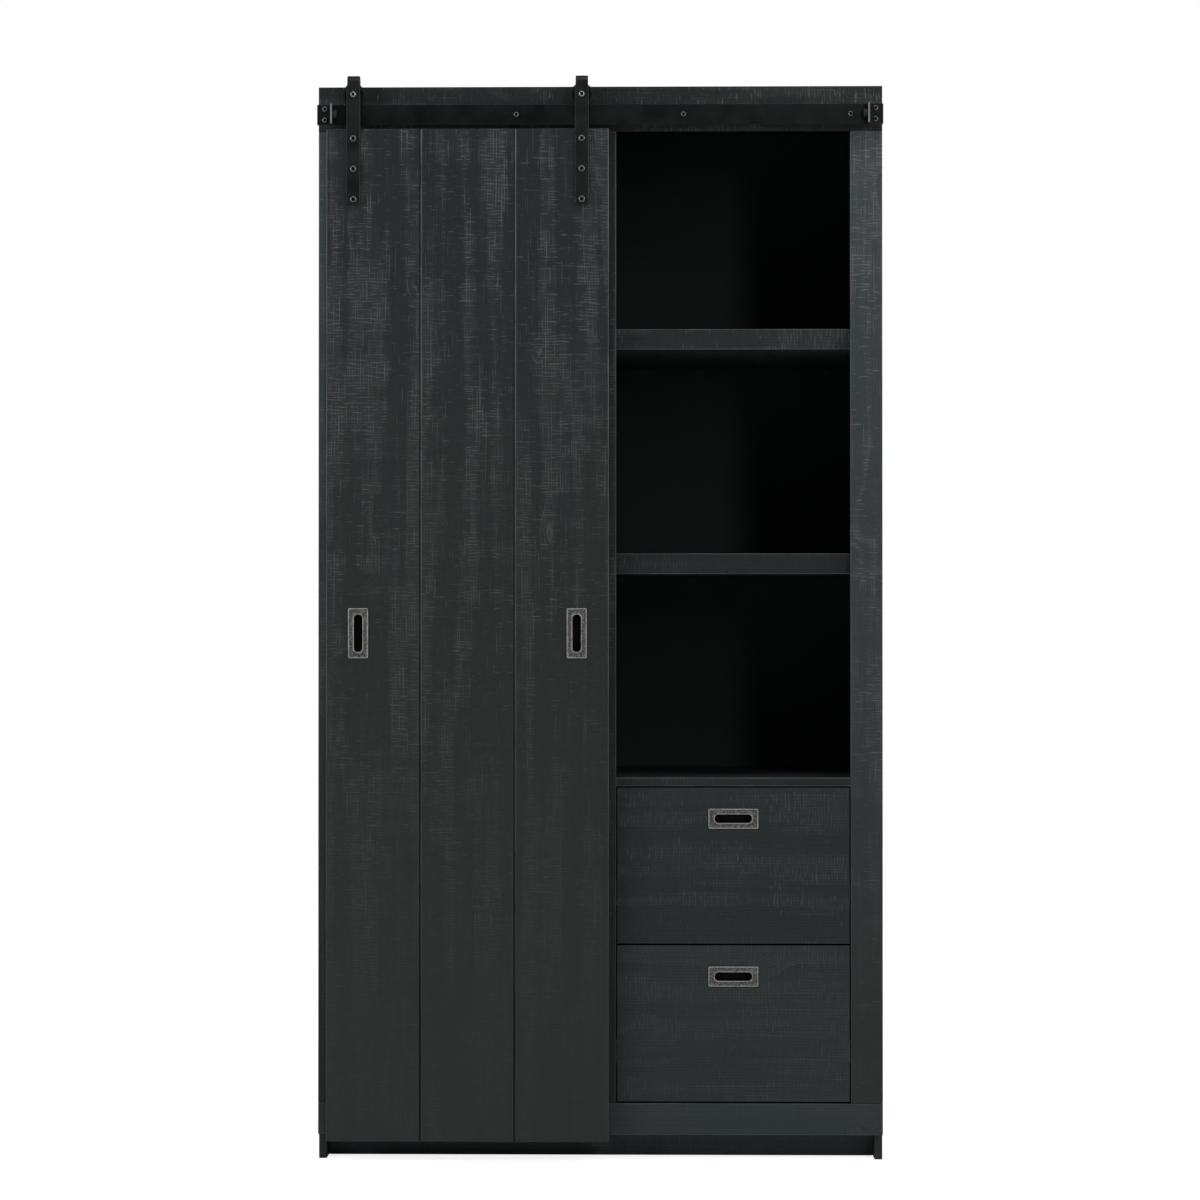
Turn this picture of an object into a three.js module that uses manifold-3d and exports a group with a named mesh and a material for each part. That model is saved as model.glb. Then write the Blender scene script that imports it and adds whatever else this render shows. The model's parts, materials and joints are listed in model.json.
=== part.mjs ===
// Sliding door wardrobe: a face-framed carcass with two bays, a three-plank hanging door that
// rolls on a flat bar track, open shelves, and two drawers on telescopic runners.
// Millimetres. +X right, +Y towards the wall, +Z up. The origin is on the floor, under the middle
// of the whole object's box. Every "depth" below is measured forwards from the face frame's front.
import * as THREE from "three";
import { mergeVertices } from "three/addons/utils/BufferGeometryUtils.js";
import Module from "manifold-3d";

const wasm = await Module();
wasm.setup();

// ---------- driving dimensions ----------
const CARCASS_WIDTH = 1130;
const CARCASS_HEIGHT = 2150;
const WALL_Y = 300;
const FRAME_FRONT_Y = -252;
const FRAME_THICKNESS = 20;
const PANEL = 16;
const BACK_THICKNESS = 9;
const STILE_WIDTH = 64;
const HEAD_HEIGHT = 90;
const RAIL_BOTTOM_Z = 51;
const RAIL_TOP_Z = 115;
const PLINTH_RECESS = 70;
const BACK_BOTTOM_Z = 60;

const SHELF_THICKNESS = 41;
const SHELF_TOPS = { upper: 1665, lower: 1214 };
const DECK_TOP_Z = 765;
const DECK_THICKNESS = 17;
const INSET_DEPTH = 2; // drawer fronts and the deck's nosing sit this far behind the frame
const NOSING_GAP = 0.5;

const HANGING_RAIL_Z = 2000;
const HANGING_RAIL_RADIUS = 12.5;
const HANGING_RAIL_BORE = 11;
const HANGING_RAIL_FLANGE = { radius: 28, edge: 4, thickness: 5 };
const HANGING_RAIL_CUP = { radius: 17, length: 18 };

const DOOR_WIDTH = 564;
const DOOR_BOTTOM_Z = 42;
const DOOR_TOP_Z = 2061;
const DOOR_BACK_DEPTH = 12;
const DOOR_THICKNESS = 22;
const DOOR_REST_X = -264; // the door's middle, over the left bay
const PLANK_COUNT = 3;
const V_GROOVE = 2;
const TONGUE_LENGTH = 6;
const TONGUE_THICKNESS = 6;
const TONGUE_PLAY = 0.5;
const GUIDE_GROOVE = { nearDepth: 19, farDepth: 27, topZ: 57 };

const TRACK_LENGTH = 1130;
const TRACK_BOTTOM_Z = 2070;
const TRACK_HEIGHT = 40;
const TRACK_NEAR_DEPTH = 23;
const TRACK_THICKNESS = 5;
const TRACK_BOLT_XS = [-500, -167, 167, 500];
const TRACK_BOLT_RADIUS = 4;
const TRACK_BOLT_HOLE = 4.2;
const TRACK_BOLT_HEAD = { radius: 7, height: 5 };

const HANGER_OFFSET = 228; // each hanger's distance from the door's middle
const HANGER_WIDTH = 27;
const HANGER_NECK_WIDTH = 24.5;
const HANGER_NECK_Z = 2151;
const HANGER_FLARE_Z = 2145;
const HANGER_THICKNESS = 5;
const HANGER_BOTTOM_Z = 1910;
const HANGER_TOP_Z = 2168;
const HANGER_REAR_DROP = 15;

const AXLE_Z = 2129;
const AXLE_RADIUS = 5;
const AXLE_HOLE = 5.2;
const AXLE_NUT = { radius: 7, height: 4, domeRadius: 6, domeHeight: 3.5 };
const AXLE_REAR_HEAD = { radius: 8, height: 5 };
const WHEEL_BORE = 5.1;
const WHEEL_TREAD = 18.8;
const WHEEL_RIM = 23.5;
const WHEEL_HALF_WIDTH = 6;
const WHEEL_HUB = { radius: 9, halfWidth: 8 };
const WHEEL_GROOVE_HALF = 3;
const WHEEL_EDGE = 1;

const STOP_FLANGE_X = 533.5; // inner face of the stop's forward flange
const STOP_FLANGE_THICKNESS = 4;
const STOP_PLATE_THICKNESS = 4;
const STOP_FRONT_DEPTH = 48;
const BUMPER_FACE_X = 525;
const BUMPER_RADIUS = 9.5;
const BUMPER_NECK_RADIUS = 6;
const BUMPER_NECK_LENGTH = 2;
const BUMPER_EDGE = 1.5;

const GUIDE_LENGTH = 30;
const GUIDE_THICKNESS = 4;
const GUIDE_PLATE_Z = 33;
const GUIDE_FIN = { nearDepth: 21, topZ: 52 };
const GUIDE_LEG_TOP_Z = 80;

const PULL = { long: 100, wide: 40, corner: 4, proud: 2 };
const PULL_PAN = { long: 79, wide: 21, depth: 12 };
const PULL_SLOT = { long: 75, wide: 17, depth: 10 };
const PULL_MORTISE = { long: 80, wide: 22, depth: 12.5 };
const DOOR_PULL_INSET = 64;
const DOOR_PULL_Z = 1054;
const DRAWER_PULL_DROP = 62;

const DRAWER_FRONT = { height: 311.5, thickness: 20, sideGap: 2.5, railGap: 3, middleGap: 4 };
const DRAWER_BOX = { height: 230, depth: 450, wall: 12, lift: 17 };
const DRAWER_BOTTOM = { raise: 12, thickness: 6 };
const RUNNER_SPACE = 13;
const RUNNER = { length: 446, centreZ: 80, frontGap: 2 };
const RUNNER_MEMBERS = {
  fixed: { web: 0, reach: 11, height: 45, wall: 1.5 },
  middle: { web: 4, reach: 11.5, height: 36, wall: 1.5 },
};
const PACKER = { bottomZ: 130, topZ: 700, depth: 470 };

// ---------- values that follow from them ----------
const HALF_WIDTH = CARCASS_WIDTH / 2;
const INNER_X = HALF_WIDTH - PANEL;
const FRAME_BACK_Y = FRAME_FRONT_Y + FRAME_THICKNESS;
const INNER_BACK_Y = WALL_Y - BACK_THICKNESS;
const HEAD_BOTTOM_Z = CARCASS_HEIGHT - HEAD_HEIGHT;
const TOP_PANEL_Z = CARCASS_HEIGHT - PANEL;
const HALF_STILE = STILE_WIDTH / 2;
const HALF_PARTITION = PANEL / 2;
const OPENING = { left: HALF_STILE, right: HALF_WIDTH - STILE_WIDTH };
const OPENING_MIDDLE = (OPENING.left + OPENING.right) / 2;
const TRACK_FRONT_DEPTH = TRACK_NEAR_DEPTH + TRACK_THICKNESS;
const TRACK_MIDDLE_DEPTH = TRACK_NEAR_DEPTH + TRACK_THICKNESS / 2;
const TRACK_MIDDLE_Z = TRACK_BOTTOM_Z + TRACK_HEIGHT / 2;
const DOOR_FRONT_DEPTH = DOOR_BACK_DEPTH + DOOR_THICKNESS;
const DECK_BOTTOM_Z = DECK_TOP_Z - DECK_THICKNESS;

// ---------- how finely round shapes are cut, and how far cutters and joined solids overrun ----------
const SMOOTH = 32; // sides of a round piece
const SMALL_ROUND = 24;
const HOLE_SIDES = 16;
const HEXAGON = 6;
const ARC_SEGMENTS = 8;
const DOME_STEPS = 4;
const EPSILON = 1;
const SLIVER = 0.1;
const END_FLAT = 0.5; // the straight part left between the two arcs of a slot's end

const yAt = (depth) => FRAME_FRONT_Y - depth;

// ---------- materials ----------
const paint = (color, roughness, metalness) =>
  new THREE.MeshStandardMaterial({ color, roughness, metalness });
const MATERIAL = {
  wood: paint(0x2d3132, 0.7, 0),
  plain: paint(0x232627, 0.8, 0),
  blackSteel: paint(0x17191a, 0.5, 0.8),
  zinc: paint(0xb9bcbd, 0.35, 1),
  pewter: paint(0x6a655e, 0.45, 0.9),
  rubber: paint(0x1a1a1a, 0.9, 0),
};

// ---------- shape helpers ----------
const indexed = (geometry) => {
  geometry.deleteAttribute("normal");
  geometry.deleteAttribute("uv");
  return mergeVertices(geometry, 1e-3);
};

const solidOf = (geometry) => {
  const merged = indexed(geometry);
  return new wasm.Manifold(
    new wasm.Mesh({
      numProp: 3,
      vertProperties: merged.attributes.position.array,
      triVerts: new Uint32Array(merged.index.array),
    }),
  );
};

const geometryOf = (solid) => {
  const { vertProperties, triVerts } = solid.getMesh();
  const geometry = new THREE.BufferGeometry();
  geometry.setAttribute("position", new THREE.BufferAttribute(vertProperties, 3));
  geometry.setIndex(new THREE.BufferAttribute(triVerts, 1));
  geometry.computeVertexNormals();
  return geometry;
};

const named = (name, geometry, material) => {
  const mesh = new THREE.Mesh(geometry, material);
  mesh.name = name;
  return mesh;
};

// A box between two corners, as a geometry in the group's own coordinates.
const block = ([x0, x1], [y0, y1], [z0, z1]) =>
  new THREE.BoxGeometry(x1 - x0, y1 - y0, z1 - z0).translate(
    (x0 + x1) / 2,
    (y0 + y1) / 2,
    (z0 + z1) / 2,
  );

// A board is a box-shaped mesh placed by its middle.
const board = (name, [x0, x1], [y0, y1], [z0, z1], material) => {
  const mesh = named(name, new THREE.BoxGeometry(x1 - x0, y1 - y0, z1 - z0), material);
  mesh.position.set((x0 + x1) / 2, (y0 + y1) / 2, (z0 + z1) / 2);
  return mesh;
};

const polygon = (points) => new THREE.Shape(points.map(([u, v]) => new THREE.Vector2(u, v)));

const extruded = (shape, depth) =>
  new THREE.ExtrudeGeometry(shape, { depth, bevelEnabled: false, curveSegments: ARC_SEGMENTS });

// A shape drawn in X and Z, made solid between two Y values.
const alongY = (shape, y0, y1) => extruded(shape, y1 - y0).rotateX(Math.PI / 2).translate(0, y1, 0);

// A shape drawn in Y and Z, made solid between two X values.
const alongX = (shape, x0, x1) =>
  extruded(shape, x1 - x0)
    .applyMatrix4(
      new THREE.Matrix4().makeBasis(
        new THREE.Vector3(0, 1, 0),
        new THREE.Vector3(0, 0, 1),
        new THREE.Vector3(1, 0, 0),
      ),
    )
    .translate(x0, 0, 0);

const cylinderAlongY = (radius, y0, y1, sides = SMOOTH) =>
  new THREE.CylinderGeometry(radius, radius, y1 - y0, sides).translate(0, (y0 + y1) / 2, 0);

const roundedRectangle = (width, height, radius) => {
  const x = width / 2 - radius;
  const z = height / 2 - radius;
  const shape = new THREE.Shape();
  shape.absarc(x, z, radius, 0, Math.PI / 2);
  shape.absarc(-x, z, radius, Math.PI / 2, Math.PI);
  shape.absarc(-x, -z, radius, Math.PI, 1.5 * Math.PI);
  shape.absarc(x, -z, radius, 1.5 * Math.PI, 2 * Math.PI);
  return shape;
};

// A slot's outline: its short ends are round, but for a short flat.
const slotShape = (width, height) =>
  roundedRectangle(width, height, Math.min(width, height) / 2 - END_FLAT);

// A low dome on the plane Y = 0 that rises along +Y, built from the rim to the crown.
const domeAlongY = (radius, height) => {
  const profile = [new THREE.Vector2(0, 0)];
  for (let i = 0; i < DOME_STEPS; i++) {
    const angle = (i / DOME_STEPS) * (Math.PI / 2);
    profile.push(new THREE.Vector2(radius * Math.cos(angle), height * Math.sin(angle)));
  }
  profile.push(new THREE.Vector2(0, height));
  return new THREE.LatheGeometry(profile, SMALL_ROUND);
};

// ---------- carcass ----------
function carcass() {
  const group = new THREE.Group();
  const inside = [FRAME_BACK_Y, INNER_BACK_Y];
  const wall = (name, xs, zs) => board(name, xs, [FRAME_BACK_Y, WALL_Y], zs, MATERIAL.wood);
  const plinthFront = FRAME_FRONT_Y + PLINTH_RECESS;
  group.add(
    wall("side_panel_left", [-HALF_WIDTH, -INNER_X], [0, CARCASS_HEIGHT]),
    wall("side_panel_right", [INNER_X, HALF_WIDTH], [0, CARCASS_HEIGHT]),
    board(
      "centre_partition",
      [-HALF_PARTITION, HALF_PARTITION],
      inside,
      [RAIL_TOP_Z, TOP_PANEL_Z],
      MATERIAL.wood,
    ),
    board("top_panel", [-INNER_X, INNER_X], inside, [TOP_PANEL_Z, CARCASS_HEIGHT], MATERIAL.wood),
    board(
      "bottom_panel",
      [-INNER_X, INNER_X],
      inside,
      [RAIL_TOP_Z - PANEL, RAIL_TOP_Z],
      MATERIAL.wood,
    ),
    board(
      "back_panel",
      [-INNER_X, INNER_X],
      [INNER_BACK_Y, WALL_Y],
      [BACK_BOTTOM_Z, CARCASS_HEIGHT],
      MATERIAL.plain,
    ),
    board(
      "plinth",
      [-INNER_X, INNER_X],
      [plinthFront, plinthFront + PANEL],
      [0, RAIL_TOP_Z - PANEL],
      MATERIAL.wood,
    ),
  );
  return group;
}

// ---------- face frame ----------
function headFascia() {
  const reach = [FRAME_FRONT_Y - EPSILON, FRAME_BACK_Y + EPSILON];
  let solid = solidOf(
    block([-HALF_WIDTH, HALF_WIDTH], [FRAME_FRONT_Y, FRAME_BACK_Y], [HEAD_BOTTOM_Z, CARCASS_HEIGHT]),
  );
  for (const x of TRACK_BOLT_XS) {
    const hole = cylinderAlongY(TRACK_BOLT_HOLE, ...reach, HOLE_SIDES);
    solid = solid.subtract(solidOf(hole.translate(x, 0, TRACK_MIDDLE_Z)));
  }
  return named("head_fascia", geometryOf(solid), MATERIAL.wood);
}

function faceFrame() {
  const group = new THREE.Group();
  const depth = [FRAME_FRONT_Y, FRAME_BACK_Y];
  const stileHeight = [RAIL_TOP_Z, HEAD_BOTTOM_Z];
  const stile = (name, xs) => board(name, xs, depth, stileHeight, MATERIAL.wood);
  group.add(
    headFascia(),
    stile("stile_left", [-HALF_WIDTH, STILE_WIDTH - HALF_WIDTH]),
    stile("stile_centre", [-HALF_STILE, HALF_STILE]),
    stile("stile_right", [HALF_WIDTH - STILE_WIDTH, HALF_WIDTH]),
    board(
      "bottom_rail",
      [-HALF_WIDTH, HALF_WIDTH],
      depth,
      [RAIL_BOTTOM_Z, RAIL_TOP_Z],
      MATERIAL.wood,
    ),
  );
  return group;
}

// ---------- right bay: shelves, deck over the drawers, packers behind the runners ----------
function drawerDeck() {
  const noseLeft = OPENING.left + NOSING_GAP;
  const noseRight = OPENING.right - NOSING_GAP;
  const noseFront = FRAME_FRONT_Y + INSET_DEPTH;
  const outline = polygon([
    [HALF_PARTITION, INNER_BACK_Y],
    [HALF_PARTITION, FRAME_BACK_Y],
    [noseLeft, FRAME_BACK_Y],
    [noseLeft, noseFront],
    [noseRight, noseFront],
    [noseRight, FRAME_BACK_Y],
    [INNER_X, FRAME_BACK_Y],
    [INNER_X, INNER_BACK_Y],
  ]);
  const mesh = named("drawer_deck", extruded(outline, DECK_THICKNESS), MATERIAL.wood);
  mesh.position.z = DECK_BOTTOM_Z;
  return mesh;
}

function shelving() {
  const group = new THREE.Group();
  for (const [place, topZ] of Object.entries(SHELF_TOPS)) {
    group.add(
      board(
        `shelf_${place}`,
        [HALF_PARTITION, INNER_X],
        [FRAME_BACK_Y, INNER_BACK_Y],
        [topZ - SHELF_THICKNESS, topZ],
        MATERIAL.wood,
      ),
    );
  }
  const packer = (name, xs) =>
    board(
      name,
      xs,
      [FRAME_BACK_Y, FRAME_BACK_Y + PACKER.depth],
      [PACKER.bottomZ, PACKER.topZ],
      MATERIAL.plain,
    );
  group.add(
    drawerDeck(),
    packer("runner_packer_left", [HALF_PARTITION, OPENING.left]),
    packer("runner_packer_right", [OPENING.right, INNER_X]),
  );
  return group;
}

// ---------- left bay: the hanging rail, a tube with a cupped flange at each end ----------
function hangingRail() {
  const half = (INNER_X - HALF_PARTITION) / 2;
  const { radius, edge, thickness } = HANGING_RAIL_FLANGE;
  const cup = HANGING_RAIL_CUP;
  const end = [
    [HANGING_RAIL_BORE, half],
    [radius, half],
    [radius, half - edge],
    [cup.radius, half - thickness],
    [cup.radius, half - cup.length],
    [HANGING_RAIL_RADIUS, half - cup.length],
  ];
  const otherEnd = end.map(([r, a]) => [r, -a]).reverse();
  const profile = [...end, ...otherEnd, end[0]].map(([r, a]) => new THREE.Vector2(r, -a));
  const geometry = new THREE.LatheGeometry(profile, SMOOTH).rotateZ(Math.PI / 2);
  const mesh = named("hanging_rail", geometry, MATERIAL.zinc);
  mesh.position.set(-(INNER_X + HALF_PARTITION) / 2, (FRAME_BACK_Y + INNER_BACK_Y) / 2, HANGING_RAIL_Z);
  return mesh;
}

// ---------- track, its bolts, end stops, bumpers and the floor guide ----------
function trackBar() {
  const y = [yAt(TRACK_FRONT_DEPTH), yAt(TRACK_NEAR_DEPTH)];
  const half = TRACK_LENGTH / 2;
  let solid = solidOf(block([-half, half], y, [TRACK_BOTTOM_Z, TRACK_BOTTOM_Z + TRACK_HEIGHT]));
  for (const x of TRACK_BOLT_XS) {
    const hole = cylinderAlongY(TRACK_BOLT_HOLE, y[0] - EPSILON, y[1] + EPSILON, HOLE_SIDES);
    solid = solid.subtract(solidOf(hole.translate(x, 0, TRACK_MIDDLE_Z)));
  }
  return named("track_bar", geometryOf(solid), MATERIAL.blackSteel);
}

// A bolt through the bar and the fascia; its spacer sleeve is a separate dressing piece.
function trackBolt(name, x) {
  const headBack = yAt(TRACK_FRONT_DEPTH);
  const head = cylinderAlongY(
    TRACK_BOLT_HEAD.radius,
    headBack - TRACK_BOLT_HEAD.height,
    headBack,
    HEXAGON,
  );
  const shank = cylinderAlongY(TRACK_BOLT_RADIUS, headBack - EPSILON, FRAME_BACK_Y, HOLE_SIDES);
  const mesh = named(name, geometryOf(solidOf(head).add(solidOf(shank))), MATERIAL.blackSteel);
  mesh.position.set(x, 0, TRACK_MIDDLE_Z);
  return mesh;
}

// An L-shaped plate: screwed flat on the bar's end, with a flange standing forwards.
function endStop(name, side) {
  const outer = TRACK_LENGTH / 2;
  const plateFront = yAt(TRACK_FRONT_DEPTH + STOP_PLATE_THICKNESS);
  const flangeOuter = STOP_FLANGE_X + STOP_FLANGE_THICKNESS;
  const outline = [
    [STOP_FLANGE_X, yAt(TRACK_FRONT_DEPTH)],
    [STOP_FLANGE_X, yAt(STOP_FRONT_DEPTH)],
    [flangeOuter, yAt(STOP_FRONT_DEPTH)],
    [flangeOuter, plateFront],
    [outer, plateFront],
    [outer, yAt(TRACK_FRONT_DEPTH)],
  ].map(([x, y]) => [side * x, y]);
  const mesh = named(name, extruded(polygon(outline), TRACK_HEIGHT), MATERIAL.blackSteel);
  mesh.position.z = TRACK_BOTTOM_Z;
  return mesh;
}

// A rubber button on the inner face of the stop's flange.
function bumper(name, side) {
  const length = STOP_FLANGE_X - BUMPER_FACE_X;
  const profile = [
    [0, 0],
    [BUMPER_NECK_RADIUS, 0],
    [BUMPER_NECK_RADIUS, BUMPER_NECK_LENGTH],
    [BUMPER_RADIUS, BUMPER_NECK_LENGTH],
    [BUMPER_RADIUS, length - BUMPER_EDGE],
    [BUMPER_RADIUS - BUMPER_EDGE, length],
    [0, length],
  ].map(([r, a]) => new THREE.Vector2(r, a));
  const geometry = new THREE.LatheGeometry(profile, SMALL_ROUND).rotateZ((side * Math.PI) / 2);
  const mesh = named(name, geometry, MATERIAL.rubber);
  mesh.position.set(
    side * STOP_FLANGE_X,
    yAt((TRACK_FRONT_DEPTH + STOP_FRONT_DEPTH) / 2),
    TRACK_MIDDLE_Z,
  );
  return mesh;
}

// A bent plate behind the bottom rail whose fin stands in the groove under the door.
function doorGuide() {
  const legNear = yAt(-FRAME_THICKNESS);
  const finFar = GUIDE_FIN.nearDepth + GUIDE_THICKNESS;
  const plateTop = GUIDE_PLATE_Z + GUIDE_THICKNESS;
  const outline = polygon([
    [legNear + GUIDE_THICKNESS, GUIDE_LEG_TOP_Z],
    [legNear + GUIDE_THICKNESS, GUIDE_PLATE_Z],
    [yAt(finFar), GUIDE_PLATE_Z],
    [yAt(finFar), GUIDE_FIN.topZ],
    [yAt(GUIDE_FIN.nearDepth), GUIDE_FIN.topZ],
    [yAt(GUIDE_FIN.nearDepth), plateTop],
    [legNear, plateTop],
    [legNear, GUIDE_LEG_TOP_Z],
  ]);
  const half = GUIDE_LENGTH / 2;
  return named("door_guide", alongX(outline, -half, half), MATERIAL.blackSteel);
}

function trackParts() {
  const group = new THREE.Group();
  group.add(trackBar());
  TRACK_BOLT_XS.forEach((x, i) => group.add(trackBolt(`track_bolt_${i + 1}`, x)));
  for (const [place, side] of Object.entries({ left: -1, right: 1 })) {
    group.add(endStop(`end_stop_${place}`, side), bumper(`bumper_${place}`, side));
  }
  group.add(doorGuide());
  return group;
}

// ---------- flush pull: a rounded plate with a slotted pan let into the wood behind it ----------
function pullGeometry(upright) {
  const turned = (long, wide) => (upright ? [wide, long] : [long, wide]);
  const plate = alongY(roundedRectangle(...turned(PULL.long, PULL.wide), PULL.corner), -PULL.proud, 0);
  const pan = alongY(slotShape(...turned(PULL_PAN.long, PULL_PAN.wide)), -EPSILON, PULL_PAN.depth);
  const slot = alongY(
    slotShape(...turned(PULL_SLOT.long, PULL_SLOT.wide)),
    -PULL.proud - EPSILON,
    PULL_SLOT.depth,
  );
  return geometryOf(solidOf(plate).add(solidOf(pan)).subtract(solidOf(slot)));
}

function mortise(upright, x, frontY, z) {
  const size = upright
    ? [PULL_MORTISE.wide, PULL_MORTISE.long]
    : [PULL_MORTISE.long, PULL_MORTISE.wide];
  return solidOf(alongY(slotShape(...size), -EPSILON, PULL_MORTISE.depth).translate(x, frontY, z));
}

function pull(name, upright, x, frontY, z) {
  const mesh = named(name, pullGeometry(upright), MATERIAL.pewter);
  mesh.position.set(x, frontY, z);
  return mesh;
}

// ---------- door: x is measured from the door's middle ----------
function plankOutline(hasGroove, hasTongue) {
  const width = DOOR_WIDTH / PLANK_COUNT;
  const front = yAt(DOOR_FRONT_DEPTH);
  const back = yAt(DOOR_BACK_DEPTH);
  const middle = (front + back) / 2;
  const half = TONGUE_THICKNESS / 2;
  const rightEdge = hasTongue
    ? [
        [width - V_GROOVE, front],
        [width, front + V_GROOVE],
        [width, middle - half],
        [width + TONGUE_LENGTH, middle - half],
        [width + TONGUE_LENGTH, middle + half],
        [width, middle + half],
        [width, back - V_GROOVE],
        [width - V_GROOVE, back],
      ]
    : [
        [width, front],
        [width, back],
      ];
  const slotHalf = half + TONGUE_PLAY;
  const slotDepth = TONGUE_LENGTH + 2 * TONGUE_PLAY;
  const leftEdge = hasGroove
    ? [
        [V_GROOVE, back],
        [0, back - V_GROOVE],
        [0, middle + slotHalf],
        [slotDepth, middle + slotHalf],
        [slotDepth, middle - slotHalf],
        [0, middle - slotHalf],
        [0, front + V_GROOVE],
        [V_GROOVE, front],
      ]
    : [
        [0, back],
        [0, front],
      ];
  return polygon([...rightEdge, ...leftEdge]);
}

function plank(name, index) {
  const width = DOOR_WIDTH / PLANK_COUNT;
  const left = index * width - DOOR_WIDTH / 2;
  const outline = plankOutline(index > 0, index < PLANK_COUNT - 1);
  const blank = extruded(outline, DOOR_TOP_Z - DOOR_BOTTOM_Z).translate(left, 0, DOOR_BOTTOM_Z);
  const groove = block(
    [-DOOR_WIDTH, DOOR_WIDTH],
    [yAt(GUIDE_GROOVE.farDepth), yAt(GUIDE_GROOVE.nearDepth)],
    [DOOR_BOTTOM_Z - EPSILON, GUIDE_GROOVE.topZ],
  );
  let solid = solidOf(blank).subtract(solidOf(groove));
  const pullX = DOOR_WIDTH / 2 - DOOR_PULL_INSET;
  for (const x of [-pullX, pullX]) {
    if (x > left && x < left + width) {
      solid = solid.subtract(mortise(true, x, yAt(DOOR_FRONT_DEPTH), DOOR_PULL_Z));
    }
  }
  return named(name, geometryOf(solid), MATERIAL.wood);
}

// A flat strap screwed to the door's face, necked near the top and bent back over the wheel.
function hanger(name) {
  const innerFront = DOOR_FRONT_DEPTH;
  const gapRadius = innerFront - TRACK_MIDDLE_DEPTH;
  const bendRadius = gapRadius + HANGER_THICKNESS;
  const bendZ = HANGER_TOP_Z - bendRadius;
  const middleY = yAt(TRACK_MIDDLE_DEPTH);
  const side = new THREE.Shape();
  side.moveTo(middleY - gapRadius, HANGER_BOTTOM_Z);
  side.lineTo(middleY - gapRadius, bendZ);
  side.absarc(middleY, bendZ, gapRadius, Math.PI, 0, true);
  side.lineTo(middleY + gapRadius, AXLE_Z - HANGER_REAR_DROP);
  side.lineTo(middleY + bendRadius, AXLE_Z - HANGER_REAR_DROP);
  side.lineTo(middleY + bendRadius, bendZ);
  side.absarc(middleY, bendZ, bendRadius, 0, Math.PI, false);
  side.lineTo(middleY - bendRadius, HANGER_BOTTOM_Z);
  const half = HANGER_WIDTH / 2;
  const neck = HANGER_NECK_WIDTH / 2;
  const faceOutline = polygon([
    [-half, HANGER_BOTTOM_Z - EPSILON],
    [half, HANGER_BOTTOM_Z - EPSILON],
    [half, HANGER_FLARE_Z],
    [neck, HANGER_NECK_Z],
    [neck, HANGER_TOP_Z + EPSILON],
    [-neck, HANGER_TOP_Z + EPSILON],
    [-neck, HANGER_NECK_Z],
    [-half, HANGER_FLARE_Z],
  ]);
  const reach = [middleY - bendRadius - EPSILON, middleY + bendRadius + EPSILON];
  const axleHole = cylinderAlongY(AXLE_HOLE, ...reach, SMALL_ROUND).translate(0, 0, AXLE_Z);
  const solid = solidOf(alongX(side, -half, half))
    .intersect(solidOf(alongY(faceOutline, ...reach)))
    .subtract(solidOf(axleHole));
  return named(name, geometryOf(solid), MATERIAL.blackSteel);
}

// The wheel's axle bolt, with a domed nut in front of the strap and a hexagon head behind it.
function axle(name) {
  const spread = DOOR_FRONT_DEPTH + HANGER_THICKNESS - TRACK_MIDDLE_DEPTH;
  const nutTop = spread + AXLE_NUT.height;
  const dome = domeAlongY(AXLE_NUT.domeRadius, AXLE_NUT.domeHeight)
    .rotateX(Math.PI)
    .translate(0, SLIVER - nutTop, 0);
  const rearEnd = spread + AXLE_REAR_HEAD.height;
  const solid = solidOf(cylinderAlongY(AXLE_RADIUS, -nutTop, spread + EPSILON, SMALL_ROUND))
    .add(solidOf(cylinderAlongY(AXLE_NUT.radius, -nutTop, -spread, HEXAGON)))
    .add(solidOf(dome))
    .add(solidOf(cylinderAlongY(AXLE_REAR_HEAD.radius, spread, rearEnd, HEXAGON)));
  return named(name, geometryOf(solid), MATERIAL.zinc);
}

// A grooved steel wheel that runs on the bar's top edge.
function wheel(name) {
  const h = WHEEL_HALF_WIDTH;
  const edge = WHEEL_EDGE;
  const profile = [
    [WHEEL_BORE, -WHEEL_HUB.halfWidth],
    [WHEEL_HUB.radius, -WHEEL_HUB.halfWidth],
    [WHEEL_HUB.radius, -h],
    [WHEEL_RIM - edge, -h],
    [WHEEL_RIM, edge - h],
    [WHEEL_RIM, -WHEEL_GROOVE_HALF - edge],
    [WHEEL_TREAD, -WHEEL_GROOVE_HALF],
    [WHEEL_TREAD, WHEEL_GROOVE_HALF],
    [WHEEL_RIM, WHEEL_GROOVE_HALF + edge],
    [WHEEL_RIM, h - edge],
    [WHEEL_RIM - edge, h],
    [WHEEL_HUB.radius, h],
    [WHEEL_HUB.radius, WHEEL_HUB.halfWidth],
    [WHEEL_BORE, WHEEL_HUB.halfWidth],
    [WHEEL_BORE, -WHEEL_HUB.halfWidth],
  ].map(([r, a]) => new THREE.Vector2(r, a));
  return named(name, new THREE.LatheGeometry(profile, SMOOTH), MATERIAL.blackSteel);
}

function hangingDoor() {
  const door = new THREE.Group();
  door.position.x = DOOR_REST_X;
  ["left", "middle", "right"].forEach((place, i) => door.add(plank(`door_plank_${place}`, i)));
  for (const [place, side] of Object.entries({ left: -1, right: 1 })) {
    const pullX = side * (DOOR_WIDTH / 2 - DOOR_PULL_INSET);
    door.add(pull(`door_pull_${place}`, true, pullX, yAt(DOOR_FRONT_DEPTH), DOOR_PULL_Z));
    const strap = hanger(`hanger_strap_${place}`);
    strap.position.x = side * HANGER_OFFSET;
    const running = new THREE.Group();
    running.position.set(side * HANGER_OFFSET, yAt(TRACK_MIDDLE_DEPTH), AXLE_Z);
    running.add(axle(`wheel_axle_${place}`), wheel(`wheel_${place}`));
    door.add(strap, running);
  }
  return door;
}

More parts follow.
